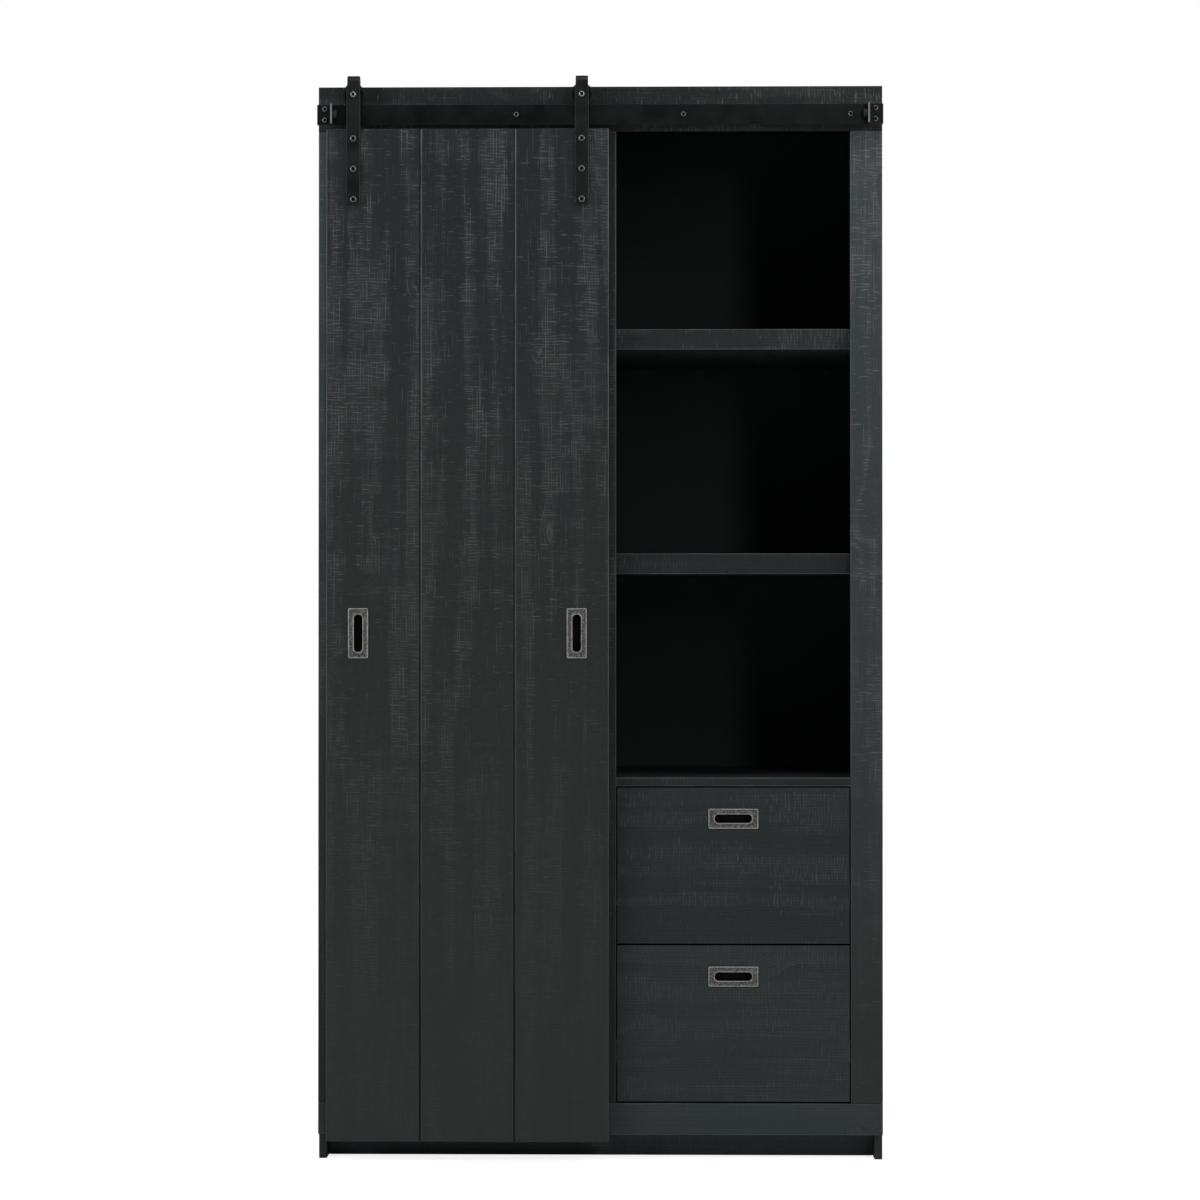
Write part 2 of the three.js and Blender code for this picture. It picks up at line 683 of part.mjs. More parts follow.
// ---------- drawers ----------
// A C-shaped channel drawn in X and Z: its web is at webX and it opens towards the drawer.
function channelOutline(side, webX, reach, height, thickness) {
  const half = height / 2;
  return polygon(
    [
      [webX, -half],
      [reach, -half],
      [reach, thickness - half],
      [webX + thickness, thickness - half],
      [webX + thickness, half - thickness],
      [reach, half - thickness],
      [reach, half],
      [webX, half],
    ].map(([x, z]) => [side * x, z]),
  );
}

// The fixed and the middle members of one drawer's pair of runners.
function runners(drawerName, boxBottomZ) {
  const group = new THREE.Group();
  const start = FRAME_BACK_Y + RUNNER.frontGap;
  const z = boxBottomZ + RUNNER.centreZ;
  for (const [place, x, side] of [
    ["left", OPENING.left, 1],
    ["right", OPENING.right, -1],
  ]) {
    for (const [member, { web, reach, height, wall }] of Object.entries(RUNNER_MEMBERS)) {
      const outline = channelOutline(side, web, reach, height, wall);
      const mesh = named(
        `${drawerName}_runner_${member}_${place}`,
        alongY(outline, start, start + RUNNER.length),
        MATERIAL.zinc,
      );
      mesh.position.set(x, 0, z);
      group.add(mesh);
    }
  }
  return group;
}

function drawerFront(name, bottomZ) {
  const frontY = yAt(-INSET_DEPTH);
  const topZ = bottomZ + DRAWER_FRONT.height;
  const blank = block(
    [OPENING.left + DRAWER_FRONT.sideGap, OPENING.right - DRAWER_FRONT.sideGap],
    [frontY, frontY + DRAWER_FRONT.thickness],
    [bottomZ, topZ],
  );
  const cut = mortise(false, OPENING_MIDDLE, frontY, topZ - DRAWER_PULL_DROP);
  return named(`${name}_front`, geometryOf(solidOf(blank).subtract(cut)), MATERIAL.wood);
}

function drawer(name, frontBottomZ) {
  const group = new THREE.Group();
  const boxZ = frontBottomZ + DRAWER_BOX.lift;
  const boxTop = boxZ + DRAWER_BOX.height;
  const frontBackY = yAt(-INSET_DEPTH) + DRAWER_FRONT.thickness;
  const endY = frontBackY + DRAWER_BOX.depth;
  const leftX = OPENING.left + RUNNER_SPACE;
  const rightX = OPENING.right - RUNNER_SPACE;
  const between = [leftX + DRAWER_BOX.wall, rightX - DRAWER_BOX.wall];
  const sheetZ = boxZ + DRAWER_BOTTOM.raise;
  const part = (suffix, xs, ys, zs) => board(`${name}_${suffix}`, xs, ys, zs, MATERIAL.plain);
  group.add(
    drawerFront(name, frontBottomZ),
    part("side_left", [leftX, between[0]], [frontBackY, endY], [boxZ, boxTop]),
    part("side_right", [between[1], rightX], [frontBackY, endY], [boxZ, boxTop]),
    part("back", between, [endY - DRAWER_BOX.wall, endY], [sheetZ, boxTop]),
    part(
      "bottom",
      between,
      [frontBackY, endY - DRAWER_BOX.wall],
      [sheetZ, sheetZ + DRAWER_BOTTOM.thickness],
    ),
    pull(
      `${name}_pull`,
      false,
      OPENING_MIDDLE,
      yAt(-INSET_DEPTH),
      frontBottomZ + DRAWER_FRONT.height - DRAWER_PULL_DROP,
    ),
    runners(name, boxZ),
  );
  return group;
}

function drawers() {
  const group = new THREE.Group();
  const lowerZ = RAIL_TOP_Z + DRAWER_FRONT.railGap;
  const upperZ = lowerZ + DRAWER_FRONT.height + DRAWER_FRONT.middleGap;
  group.add(drawer("drawer_lower", lowerZ), drawer("drawer_upper", upperZ));
  return group;
}

// ---------- the whole wardrobe ----------
const wardrobe = new THREE.Group();
wardrobe.add(
  carcass(),
  faceFrame(),
  shelving(),
  hangingRail(),
  trackParts(),
  hangingDoor(),
  drawers(),
);
export default wardrobe;
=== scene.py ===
"""Sliding door wardrobe: looks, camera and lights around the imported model. Metres, +Z up, front faces -Y.

The boards are refined copies of the CAD nodes with eased edges. Round and bent hardware is built anew
from its node's box, and small screws, sleeves and runner members are added where a real one has them.
"""
import json
import math

import bmesh
import bpy
from mathutils import Matrix, Vector


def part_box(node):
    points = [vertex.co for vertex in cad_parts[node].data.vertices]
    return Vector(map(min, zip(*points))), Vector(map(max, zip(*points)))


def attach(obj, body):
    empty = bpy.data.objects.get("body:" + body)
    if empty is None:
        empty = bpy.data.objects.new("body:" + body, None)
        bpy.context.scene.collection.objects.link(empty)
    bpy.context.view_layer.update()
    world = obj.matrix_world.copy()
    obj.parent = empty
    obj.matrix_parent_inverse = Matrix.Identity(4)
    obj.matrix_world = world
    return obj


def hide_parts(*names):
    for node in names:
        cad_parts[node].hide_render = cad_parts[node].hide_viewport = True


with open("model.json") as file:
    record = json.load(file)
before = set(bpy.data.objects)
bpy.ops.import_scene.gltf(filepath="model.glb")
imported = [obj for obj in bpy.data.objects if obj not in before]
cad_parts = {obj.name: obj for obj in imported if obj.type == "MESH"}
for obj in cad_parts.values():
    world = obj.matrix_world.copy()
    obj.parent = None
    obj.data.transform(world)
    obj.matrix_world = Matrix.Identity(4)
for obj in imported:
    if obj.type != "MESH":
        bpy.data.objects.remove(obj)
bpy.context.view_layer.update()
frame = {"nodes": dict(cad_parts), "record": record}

RECORD = frame["record"]
NODES = frame["nodes"]
BODY_OF = {node: body for body, members in RECORD["behaviour"]["bodies"].items() for node in members}

MM = 0.001
AXES = "XYZ"
FRONT = Vector((0, -1, 0))
BACK = Vector((0, 1, 0))
LEFT = Vector((-1, 0, 0))
RIGHT = Vector((1, 0, 0))
UP = Vector((0, 0, 1))

# ---------- sizes of what is made here ----------
SHARP_OVER = 25  # an edge that turns by more degrees than this is rounded
BOARD_EASE = 1.6 * MM  # rounding of the stained boards' edges
SHELF_EASE = 1.2 * MM
PLANK_EASE = 0.5 * MM
PLANED_EASE = 0.8 * MM  # of the drawer boxes and packers
THIN_EASE = 0.35 * MM  # of thin board
BAR_EASE = 0.8 * MM
PLATE_EASE = 0.7 * MM  # of bent plates
RUNNER_EASE = 0.3 * MM
GROOVE_RUB_AND_HIGHLIGHT = 2.2  # how much more a groove's rubbed side shows than an eased edge: wear, brightened further as a painted highlight
EDGE_RUB_AND_HIGHLIGHT = 1.8  # the same for the door's own two edges, also wear brightened as a painted highlight
GROOVE_BRINK = 1.4 * MM  # rounding between a groove's rubbed side and the plank's face
UNDER_TRACK_PAINTED_SHADOW = 0.45  # how far the painted shadow under the track takes the stain towards black

STRAP_THICKNESS = 5 * MM
STRAP_NECK_WIDTH = 24.5 * MM
STRAP_FLARE_DROP = 23 * MM  # from the strap's top down to where its neck starts to flare
STRAP_NECK_DROP = 17 * MM
STRAP_TAIL_DROP = 15 * MM  # from the axle down to the strap's rear end
STRAP_CHAMFER = 0.8 * MM
STRAP_BEND_STEPS = 28
STRAP_SCREW_RISES = (9.6 * MM, 70.5 * MM, 131 * MM)

SCREW_RADIUS = 6.8 * MM
SCREW_HEIGHT = 4.2 * MM
BOLT_HEAD_SHARE = 0.9  # of the CAD bolt's radius
BOLT_HEAD_HEIGHT = 4.4 * MM
BOLT_SHANK = 4 * MM
AXLE_HEAD_RADIUS = 6.9 * MM
AXLE_SHANK = 5 * MM
AXLE_NUT_CORNER = 8 * MM  # from the axle's middle to a corner of its nut

SLEEVE_RADIUS = 9 * MM
SLEEVE_BORE = 4.3 * MM
SLEEVE_CHAMFER = 0.6 * MM
STOP_SCREW_RISE = 11 * MM  # of each screw from the bar's middle
STOP_SCREW_INSET = 15.5 * MM  # of both screws from the stop's outer end
STOP_PLATE = 4 * MM  # thickness of the stop where it lies on the bar
STOP_SCREW = {"radius": 5.6 * MM, "height": 3.6 * MM}

WHEEL_BORE = 5.1 * MM
WHEEL_LIP = 1.0 * MM  # rounding of the rim

PULL_RISE = 2 * MM  # of a flush pull's plate above the board
PULL_PAN = (79 * MM, 21 * MM)  # long and wide
PULL_SLOT = (75 * MM, 17 * MM)
PULL_SINK = 0.7 * MM  # of the plate's field below its two rims
PULL_SCREW = {"radius": 2.4 * MM, "inset": 6.4 * MM}

RAIL_TUBE, RAIL_BORE, RAIL_CUP = 12.5 * MM, 11 * MM, 17 * MM  # radii
RAIL_CUP_DEPTH = 18 * MM
RAIL_SCREW = {"radius": 3.4 * MM, "circle": 22.5 * MM, "inset": 4 * MM}
INNER_MEMBER = {"height": 27 * MM, "reach": 6 * MM, "wall": 1.5 * MM, "gap": 0.1 * MM}
RUNNER_SCREW_RADIUS = 3.2 * MM
BACK_SCREW = {"radius": 3.6 * MM, "inset": 8 * MM, "columns": 7, "rows": 12}


# ---------- material building ----------
def linear(hex_colour):
    """An sRGB colour such as "2c3132" as the linear RGBA that Blender's sockets hold."""
    channels = [int(hex_colour[i : i + 2], 16) / 255 for i in (0, 2, 4)]
    return (*[c / 12.92 if c <= 0.04045 else ((c + 0.055) / 1.055) ** 2.4 for c in channels], 1.0)


def scaled(hex_colour, factor):
    """An sRGB colour made brighter or darker by a factor of its linear value."""
    return (*[c * factor for c in linear(hex_colour)[:3]], 1.0)


class Graph:
    """A material's node tree, made by short calls that each return the socket they made."""

    def __init__(self, name):
        self.material = bpy.data.materials.new(name)
        self.material.use_nodes = True
        self.tree = self.material.node_tree
        self.tree.nodes.clear()
        output = self.tree.nodes.new("ShaderNodeOutputMaterial")
        self.shader = self.tree.nodes.new("ShaderNodeBsdfPrincipled")
        self.tree.links.new(self.shader.outputs[0], output.inputs["Surface"])

    def put(self, socket, value):
        if isinstance(value, bpy.types.NodeSocket):
            self.tree.links.new(value, socket)
        else:
            socket.default_value = value

    def node(self, kind, **settings):
        made = self.tree.nodes.new("ShaderNode" + kind)
        for name, value in settings.items():
            setattr(made, name, value)
        return made

    def math(self, operation, *values, clamp=False):
        made = self.node("Math", operation=operation, use_clamp=clamp)
        for socket, value in zip(made.inputs, values):
            self.put(socket, value)
        return made.outputs[0]

    def add(self, a, b):
        return self.math("ADD", a, b)

    def times(self, *values):
        product = values[0]
        for value in values[1:]:
            product = self.math("MULTIPLY", product, value)
        return product

    def plus_scaled(self, a, factor, b):
        """a * factor + b"""
        return self.math("MULTIPLY_ADD", a, factor, b)

    def vector(self, x=0.0, y=0.0, z=0.0):
        made = self.node("CombineXYZ")
        for socket, value in zip(made.inputs, (x, y, z)):
            self.put(socket, value)
        return made.outputs[0]

    def position(self):
        """The point's X, Y and Z in the object's own frame, which is the row frame at rest."""
        split = self.node("SeparateXYZ")
        self.tree.links.new(self.node("TexCoord").outputs["Object"], split.inputs[0])
        return split.outputs

    def noise(self, vector, detail=2.0, roughness=0.5):
        made = self.node("TexNoise")
        self.put(made.inputs["Vector"], vector)
        made.inputs["Scale"].default_value = 1.0
        made.inputs["Detail"].default_value = detail
        made.inputs["Roughness"].default_value = roughness
        return made.outputs[0]

    def step(self, value, low, high, bottom=0.0, top=1.0):
        """bottom below low, top above high, and straight between them."""
        made = self.node("MapRange", clamp=True)
        for socket, number in zip(made.inputs, (value, low, high, bottom, top)):
            self.put(socket, number)
        return made.outputs[0]

    def mix(self, factor, a, b):
        made = self.node("Mix", data_type="RGBA", clamp_factor=True)
        self.put(made.inputs[0], factor)
        self.put(made.inputs[6], a)
        self.put(made.inputs[7], b)
        return made.outputs[2]

    def attribute(self, name):
        return self.node("Attribute", attribute_name=name, attribute_type="GEOMETRY").outputs["Fac"]

    def worn_edge(self):
        """1 on the faces that an eased edge added, 0 elsewhere, and more on the door's edges and the
        grooves' rubbed sides, where a painted highlight is added to the wear.
        """
        return self.attribute("eased")

    def bump(self, height, distance, strength=1.0):
        made = self.node("Bump")
        made.inputs["Strength"].default_value = strength
        made.inputs["Distance"].default_value = distance
        self.put(made.inputs["Height"], height)
        self.tree.links.new(made.outputs[0], self.shader.inputs["Normal"])

    def set(self, **values):
        for name, value in values.items():
            self.put(self.shader.inputs[name.replace("_", " ")], value)


# ---------- wood ----------
SAW_ROWS = 165.0  # saw marks per metre along a board
GROWTH_LINES = 180.0  # growth lines per metre across it
TURN = 2 * math.pi
ACROSS = {"Z": ("X", "Y"), "X": ("Z", "Y"), "Y": ("Z", "X")}  # the axes across each grain
COLD_STAIN, NEUTRAL_STAIN = "292f30", "2a2f30"
STAIN_BETWEEN_LINES = "161b1b"
# Near-black of painted shade: in the door's grooves, at the joints, round the drawer fronts and under the
# track.
PAINTED_SHADE_BLACK = "030404"
BRUSHED_WOOD = "868989"


def rough_sawn_wood(name, grain, seed, marks=1.0, lines=0.8, painted_light_by_height=None, tone=1.0, low="373a39"):
    """Black-stained rough-sawn softwood: fine pale dashes along the saw rows and the growth lines.

    grain is the axis that the fibres follow. marks scales all the pale dashes, and lines those that
    run along the grain. With fade = (low z, high z) the dashes grow from faint to full with height,
    over a stain that changes to the colour low towards the bottom; both are painted light, for how the
    light falls at different heights. tone scales the stain. Noise is scaled per metre.
    """
    g = Graph(name)
    place = dict(zip(AXES, g.position()))
    along = place[grain]
    first, second = ACROSS[grain]
    across = g.plus_scaled(place[second], 0.7, place[first])
    tilted = g.plus_scaled(across, 0.012, along)

    # Fibres run nearly straight, and swing round where a knot lay near the surface.
    wander = g.noise(g.vector(g.times(across, 3.0), g.times(along, 0.8), seed), 1.0)
    swirl = g.noise(g.vector(g.times(across, 9.0), g.times(along, 4.2), seed + 3.1), 1.0)
    swirl = g.step(swirl, 0.64, 0.82)
    fibre = g.plus_scaled(wander, 0.03, g.plus_scaled(swirl, 0.06, across))

    # The brush caught bands along the grain. Their ends are cut off along the saw rows.
    bands = g.noise(g.vector(g.times(fibre, 24.0), g.times(along, 1.6), seed + 7.7), 2.0, 0.6)
    clusters = g.noise(g.vector(g.times(across, 5.0), g.times(tilted, 20.0), seed + 23.0), 2.0, 0.6)
    bands = g.step(g.plus_scaled(clusters, 0.35, bands), 0.63, 0.77)

    row_drift = g.noise(g.vector(g.times(across, 16.0), g.times(tilted, 60.0), seed + 17.9), 1.0)
    rows = g.math("SINE", g.times(g.plus_scaled(row_drift, 2.2, g.times(tilted, SAW_ROWS)), TURN))
    row_dashes = g.noise(g.vector(g.times(across, 55.0), g.times(tilted, SAW_ROWS), seed + 26.0), 1.0)
    row_dashes = g.step(g.plus_scaled(bands, 0.19, row_dashes), 0.58, 0.8)
    crossing = g.times(g.step(rows, 0.1, 1.0), row_dashes)

    line_drift = g.noise(g.vector(g.times(fibre, 60.0), g.times(along, 3.0), seed + 11.3), 1.0)
    growth = g.math("SINE", g.times(g.plus_scaled(line_drift, 2.0, g.times(fibre, GROWTH_LINES)), TURN))
    line_dashes = g.noise(g.vector(g.times(fibre, GROWTH_LINES), g.times(along, 18.0), seed + 29.0), 1.0)
    line_dashes = g.step(g.plus_scaled(bands, 0.16, line_dashes), 0.6, 0.84)
    running = g.times(g.step(growth, 0.1, 1.0), line_dashes, lines)

    strength = g.noise(g.vector(g.times(across, 14.0), g.times(along, 9.0), seed + 35.0), 2.0)
    brushed = g.times(g.math("MAXIMUM", crossing, running), g.step(strength, 0.35, 0.65, 0.22, 0.55))
    # Fewer pale marks where shade is painted.
    unshaded = g.math("SUBTRACT", 1.0, g.attribute("shade_and_grime"), clamp=True)
    pale = g.times(g.plus_scaled(bands, 0.07, brushed), unshaded, marks)
    chips = g.noise(g.vector(g.times(across, 30.0), g.times(along, 14.0), seed), 2.0)
    # Worn edges. Where eased is above 1, on the door's edges and the grooves' rubbed sides, the wear is
    # brightened further as a painted highlight.
    worn = g.times(g.worn_edge(), g.step(chips, 0.3, 0.62, 0.25, 0.6))
    pale = g.math("MAXIMUM", pale, worn, clamp=True)

    # The stain varies from a cold to a neutral black, and sits darker between the growth lines.
    patches = g.noise(g.vector(g.times(across, 12.0), g.times(along, 3.0), seed + 41.0), 2.0)
    stain = g.mix(g.step(patches, 0.42, 0.58), scaled(COLD_STAIN, tone), scaled(NEUTRAL_STAIN, tone))
    between = g.times(g.step(growth, -0.9, -0.4, 1.0, 0.0), 0.3)
    stain = g.mix(between, stain, scaled(STAIN_BETWEEN_LINES, tone))
    # Painted light: the dashes brighten with height and the stain changes towards the colour low at the
    # bottom, for how the light falls at different heights.
    if painted_light_by_height:
        height = g.step(place["Z"], *painted_light_by_height)
        pale = g.times(pale, g.step(height, 0.0, 1.0, 0.14, 1.0))
        stain = g.mix(height, linear(low), stain)
    # Painted shade: the marked faces go towards near-black, for the shade in the grooves, at the joints,
    # round the drawer fronts and under the track.
    stain = g.mix(g.attribute("shade_and_grime"), stain, linear(PAINTED_SHADE_BLACK))
    g.set(Base_Color=g.mix(pale, stain, linear(BRUSHED_WOOD)))

    fine = g.noise(g.vector(g.times(fibre, 900.0), g.times(along, 60.0), seed + 47.0), 1.0)
    g.set(Roughness=g.step(g.add(g.times(pale, 0.5), g.times(fine, 0.5)), 0.0, 1.0, 0.55, 0.8))
    g.shader.inputs["Specular IOR Level"].default_value = 0.3
    relief = g.add(g.add(g.times(rows, 0.2), g.times(growth, 0.12)), g.times(fine, 0.22))
    g.bump(relief, 0.6 * MM, 0.5)
    return g.material


def planed_wood(name, grain, seed):
    """Planed, black-stained softwood for the drawer boxes and packers."""
    g = Graph(name)
    place = dict(zip(AXES, g.position()))
    first, second = [place[a] for a in AXES if a != grain]
    across = g.plus_scaled(second, 0.6, first)
    wander = g.noise(g.vector(g.times(across, 6.0), g.times(place[grain], 1.5), seed), 2.0)
    fibre = g.plus_scaled(wander, 0.05, across)
    rings = g.noise(g.vector(g.times(fibre, 130.0), g.times(place[grain], 1.2), seed + 5.0), 2.0)
    fine = g.noise(g.vector(g.times(fibre, 800.0), g.times(place[grain], 30.0), seed + 9.0), 1.0)
    pale = g.times(g.step(rings, 0.45, 0.7), g.step(fine, 0.3, 0.7, 0.4, 1.0))
    pale = g.math("MAXIMUM", pale, g.times(g.worn_edge(), 0.6))
    g.set(Base_Color=g.mix(pale, linear("1d2121"), linear("3a3e3f")))
    g.set(Roughness=g.step(fine, 0.2, 0.8, 0.5, 0.68))
    g.shader.inputs["Specular IOR Level"].default_value = 0.35
    g.bump(g.add(rings, g.times(fine, 0.5)), 0.3 * MM, 0.5)
    return g.material


def back_board(name):
    """Thin stained board with pressed fibres."""
    g = Graph(name)
    x, y, z = g.position()
    fibres = g.noise(g.vector(g.times(x, 90.0), g.times(y, 90.0), g.times(z, 240.0)), 3.0, 0.65)
    patches = g.noise(g.vector(g.times(x, 5.0), g.times(y, 5.0), g.times(z, 3.0)), 2.0)
    shade = g.mix(g.step(patches, 0.35, 0.65), linear("2c3634"), linear("323c3a"))
    g.set(Base_Color=g.mix(g.times(g.step(fibres, 0.55, 0.8), 0.25), shade, linear("414544")))
    g.set(Roughness=g.step(fibres, 0.3, 0.7, 0.6, 0.8))
    g.shader.inputs["Specular IOR Level"].default_value = 0.3
    g.bump(fibres, 0.25 * MM, 0.5)
    return g.material


# ---------- metal and rubber ----------
def black_steel(name, dark, light, shine):
    """Satin black powder coat with a fine orange peel, rubbed a little on the edges."""
    g = Graph(name)
    x, y, z = g.position()
    peel = g.noise(g.vector(g.times(x, 700.0), g.times(y, 700.0), g.times(z, 700.0)), 2.0)
    cloud = g.noise(g.vector(g.times(x, 30.0), g.times(y, 30.0), g.times(z, 30.0)), 3.0)
    rub = g.noise(g.vector(g.times(x, 160.0), g.times(y, 160.0), g.times(z, 160.0)), 2.0)
    shade = g.mix(g.step(cloud, 0.35, 0.65), linear(dark), linear(light))
    rubbed = g.times(g.worn_edge(), g.step(rub, 0.35, 0.6, 0.25, 0.9))
    shade = g.mix(rubbed, shade, linear("4a4e4e"))
    # Faces marked as bare metal are painted bright, as wear with a painted highlight.
    g.set(Base_Color=g.mix(g.attribute("bare_and_highlight"), shade, linear("8d9191")))
    g.set(Roughness=g.step(cloud, 0.3, 0.7, 0.36, 0.5))
    g.shader.inputs["Specular IOR Level"].default_value = shine
    g.bump(peel, 0.12 * MM, 0.5)
    return g.material


def screw_steel():
    """Blackened steel of the screw heads, rubbed bright round the rim as wear with a painted highlight."""
    g = Graph("screw_steel")
    x, y, z = g.position()
    grime = g.noise(g.vector(g.times(x, 420.0), g.times(y, 420.0), g.times(z, 420.0)), 2.0)
    shade = g.mix(g.step(grime, 0.4, 0.65), linear("222525"), linear("3f4343"))
    # The rim: wear with a painted highlight.
    shade = g.mix(g.times(g.worn_edge(), 0.6), shade, linear("9a9e9e"))
    g.set(Base_Color=g.mix(g.attribute("shade_and_grime"), shade, linear("060707")))
    g.shader.inputs["Metallic"].default_value = 0.8
    g.set(Roughness=g.step(grime, 0.3, 0.7, 0.3, 0.5))
    g.bump(grime, 0.1 * MM, 0.5)
    return g.material


def zinc_steel():
    """Bright zinc plate with faint drawing lines."""
    g = Graph("zinc_steel")
    x, y, z = g.position()
    lines = g.noise(g.vector(g.times(x, 60.0), g.times(y, 60.0), g.times(z, 1500.0)), 2.0)
    bloom = g.noise(g.vector(g.times(x, 70.0), g.times(y, 70.0), g.times(z, 70.0)), 3.0)
    shade = g.mix(g.step(bloom, 0.35, 0.7), linear("c3c6c7"), linear("989c9d"))
    shade = g.mix(g.times(g.worn_edge(), 0.4), shade, linear("e2e4e4"))
    g.set(Base_Color=g.mix(g.attribute("shade_and_grime"), shade, linear("101111")))
    g.shader.inputs["Metallic"].default_value = 1.0
    g.set(Roughness=g.step(g.add(g.times(lines, 0.5), g.times(bloom, 0.5)), 0.3, 0.7, 0.22, 0.42))
    g.bump(lines, 0.05 * MM, 0.4)
    return g.material


def pewter():
    """Cast iron, waxed: mottled grey pits with rims rubbed bright."""
    g = Graph("pewter")
    x, y, z = g.position()
    mottle = g.noise(g.vector(g.times(x, 230.0), g.times(y, 230.0), g.times(z, 230.0)), 3.0, 0.65)
    blotch = g.noise(g.vector(g.times(x, 60.0), g.times(y, 60.0), g.times(z, 60.0)), 2.0)
    shade = g.mix(g.step(mottle, 0.42, 0.6), linear("4d4e4d"), linear("9a9b98"))
    shade = g.mix(g.times(g.step(blotch, 0.4, 0.65), 0.5), shade, linear("6a6b69"))
    rubbed = g.times(g.worn_edge(), g.step(mottle, 0.3, 0.55, 0.35, 0.95))
    shade = g.mix(rubbed, shade, linear("cccdca"))
    g.set(Base_Color=g.mix(g.attribute("shade_and_grime"), shade, linear("0a0b0b")))
    g.shader.inputs["Metallic"].default_value = 0.75
    g.set(Roughness=g.step(mottle, 0.35, 0.65, 0.36, 0.62))
    g.bump(g.add(mottle, g.times(blotch, 0.6)), 0.4 * MM, 0.5)
    return g.material


def rubber():
    g = Graph("rubber")
    x, y, z = g.position()
    skin = g.noise(g.vector(g.times(x, 900.0), g.times(y, 900.0), g.times(z, 900.0)), 2.0)
    dust = g.noise(g.vector(g.times(x, 90.0), g.times(y, 90.0), g.times(z, 90.0)), 3.0)
    g.set(Base_Color=g.mix(g.step(dust, 0.45, 0.7), linear("1c1e1e"), linear("343737")))
    g.set(Roughness=g.step(dust, 0.3, 0.7, 0.35, 0.55))
    g.bump(skin, 0.08 * MM, 0.5)
    return g.material


BLACK_STEEL = black_steel("black_steel", "121616", "191d1d", 0.45)
# A darker copy of the same coat, as painted shade, for the track bar, the end stops and the wheels.
SHADED_BLACK_STEEL = black_steel("shaded_black_steel", "080b0b", "0f1212", 0.3)
SCREW_STEEL = screw_steel()
ZINC = zinc_steel()
PEWTER = pewter()
RUBBER = rubber()
BACK_BOARD = back_board("back_board")


# ---------- mesh building ----------
def finished(bm, name, body, material, smooth_under=35):
    """Turns a bmesh into a piece that rides on a body."""
    bmesh.ops.recalc_face_normals(bm, faces=bm.faces)
    mesh = bpy.data.meshes.new(name)
    bm.to_mesh(mesh)
    bm.free()
    mesh.polygons.foreach_set("use_smooth", [True] * len(mesh.polygons))
    mesh.set_sharp_from_angle(angle=math.radians(smooth_under))
    mesh.materials.append(material)
    piece = bpy.data.objects.new(name, mesh)
    bpy.context.scene.collection.objects.link(piece)
    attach(piece, body)
    return piece


def stand_in(bm, node, material, smooth_under=35):
    """A finished piece that stands for a CAD node, on the node's body."""
    piece = finished(bm, node + "_finish", BODY_OF[node], material, smooth_under)
    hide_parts(node)
    return piece


def face_layer(bm, name):
    """A number on each face that the materials read: eased (wear, on some faces brightened further as a
    painted highlight), grimed (painted shade on the wood, and darkened hollows in the hardware) or bare
    (worn metal with a painted highlight).
    """
    return bm.faces.layers.float.get(name) or bm.faces.layers.float.new(name)


def eased_layer(bm):
    return face_layer(bm, "eased")


def round_off(bm, edges, width, segments):
    """Rounds some edges, and marks the new faces as eased."""
    layer = eased_layer(bm)
    made = bmesh.ops.bevel(
        bm, geom=edges, offset=width, offset_type="OFFSET", segments=segments, profile=0.5,
        affect="EDGES", clamp_overlap=True,
    )
    for face in made["faces"]:
        face[layer] = 1.0


def ease(bm, width, segments=2, keep=()):
    """Rounds every sharp edge, except round the faces in keep."""
    sharp = [
        e for e in bm.edges
        if e.is_manifold and e.calc_face_angle(0) > math.radians(SHARP_OVER)
        and not any(f in keep for f in e.link_faces)
    ]
    round_off(bm, sharp, width, segments)


def copy_of(node):
    """The CAD node's mesh with its split vertices merged and its flat faces made whole."""
    bm = bmesh.new()
    bm.from_mesh(NODES[node].data)
    bmesh.ops.remove_doubles(bm, verts=bm.verts, dist=0.01 * MM)
    bmesh.ops.dissolve_limit(bm, angle_limit=math.radians(1), verts=bm.verts, edges=bm.edges)
    return bm


def refined(node, material, width, segments=2, dark_ends=False, dark_rim=False, dark_below=None):
    """The CAD node with eased edges, and flat faces that stay flat in shading.

    dark_ends paints shade, near-black, in the eased edges of the top and bottom, where two boards
    meet. dark_rim paints shade on the narrow faces all round a drawer front, in the gaps round it. The
    front is painted darker under the height dark_below, as a painted shadow.
    """
    bm = copy_of(node)
    if dark_rim:
        darken_rim(bm)
    ease(bm, width, segments)
    if dark_ends:
        darken_ends(bm)
    if dark_below:
        darken_below(bm, dark_below)
    weigh_normals(stand_in(bm, node, material))


def darken_rim(bm):
    """Paints shade, near-black, on every face that looks sideways, up or down: the narrow faces in the gaps
    round a drawer front.
    """
    bm.normal_update()
    shade_layer = face_layer(bm, "shade_and_grime")
    for face in bm.faces:
        if abs(face.normal.y) < 0.5:
            face[shade_layer] = 1.0


def darken_ends(bm):
    """Paints shade, near-black and not rubbed, on every face that looks up or down, where two boards meet.
    """
    bm.normal_update()
    shade_layer, rubbed = face_layer(bm, "shade_and_grime"), eased_layer(bm)
    for face in bm.faces:
        if abs(face.normal.z) > 0.5:
            face[shade_layer] = 1.0
            face[rubbed] = 0.0


def darken_below(bm, height):
    """Cuts the front face at a height, and darkens the part under it: a painted shadow, cast by the track
    above.
    """
    everything = [*bm.verts, *bm.edges, *bm.faces]
    bmesh.ops.bisect_plane(bm, geom=everything, plane_co=(0, 0, height), plane_no=UP)
    shade_layer = face_layer(bm, "shade_and_grime")
    for face in bm.faces:
        if face.normal.y < -0.9 and face.calc_center_median().z < height:
            face[shade_layer] = UNDER_TRACK_PAINTED_SHADOW


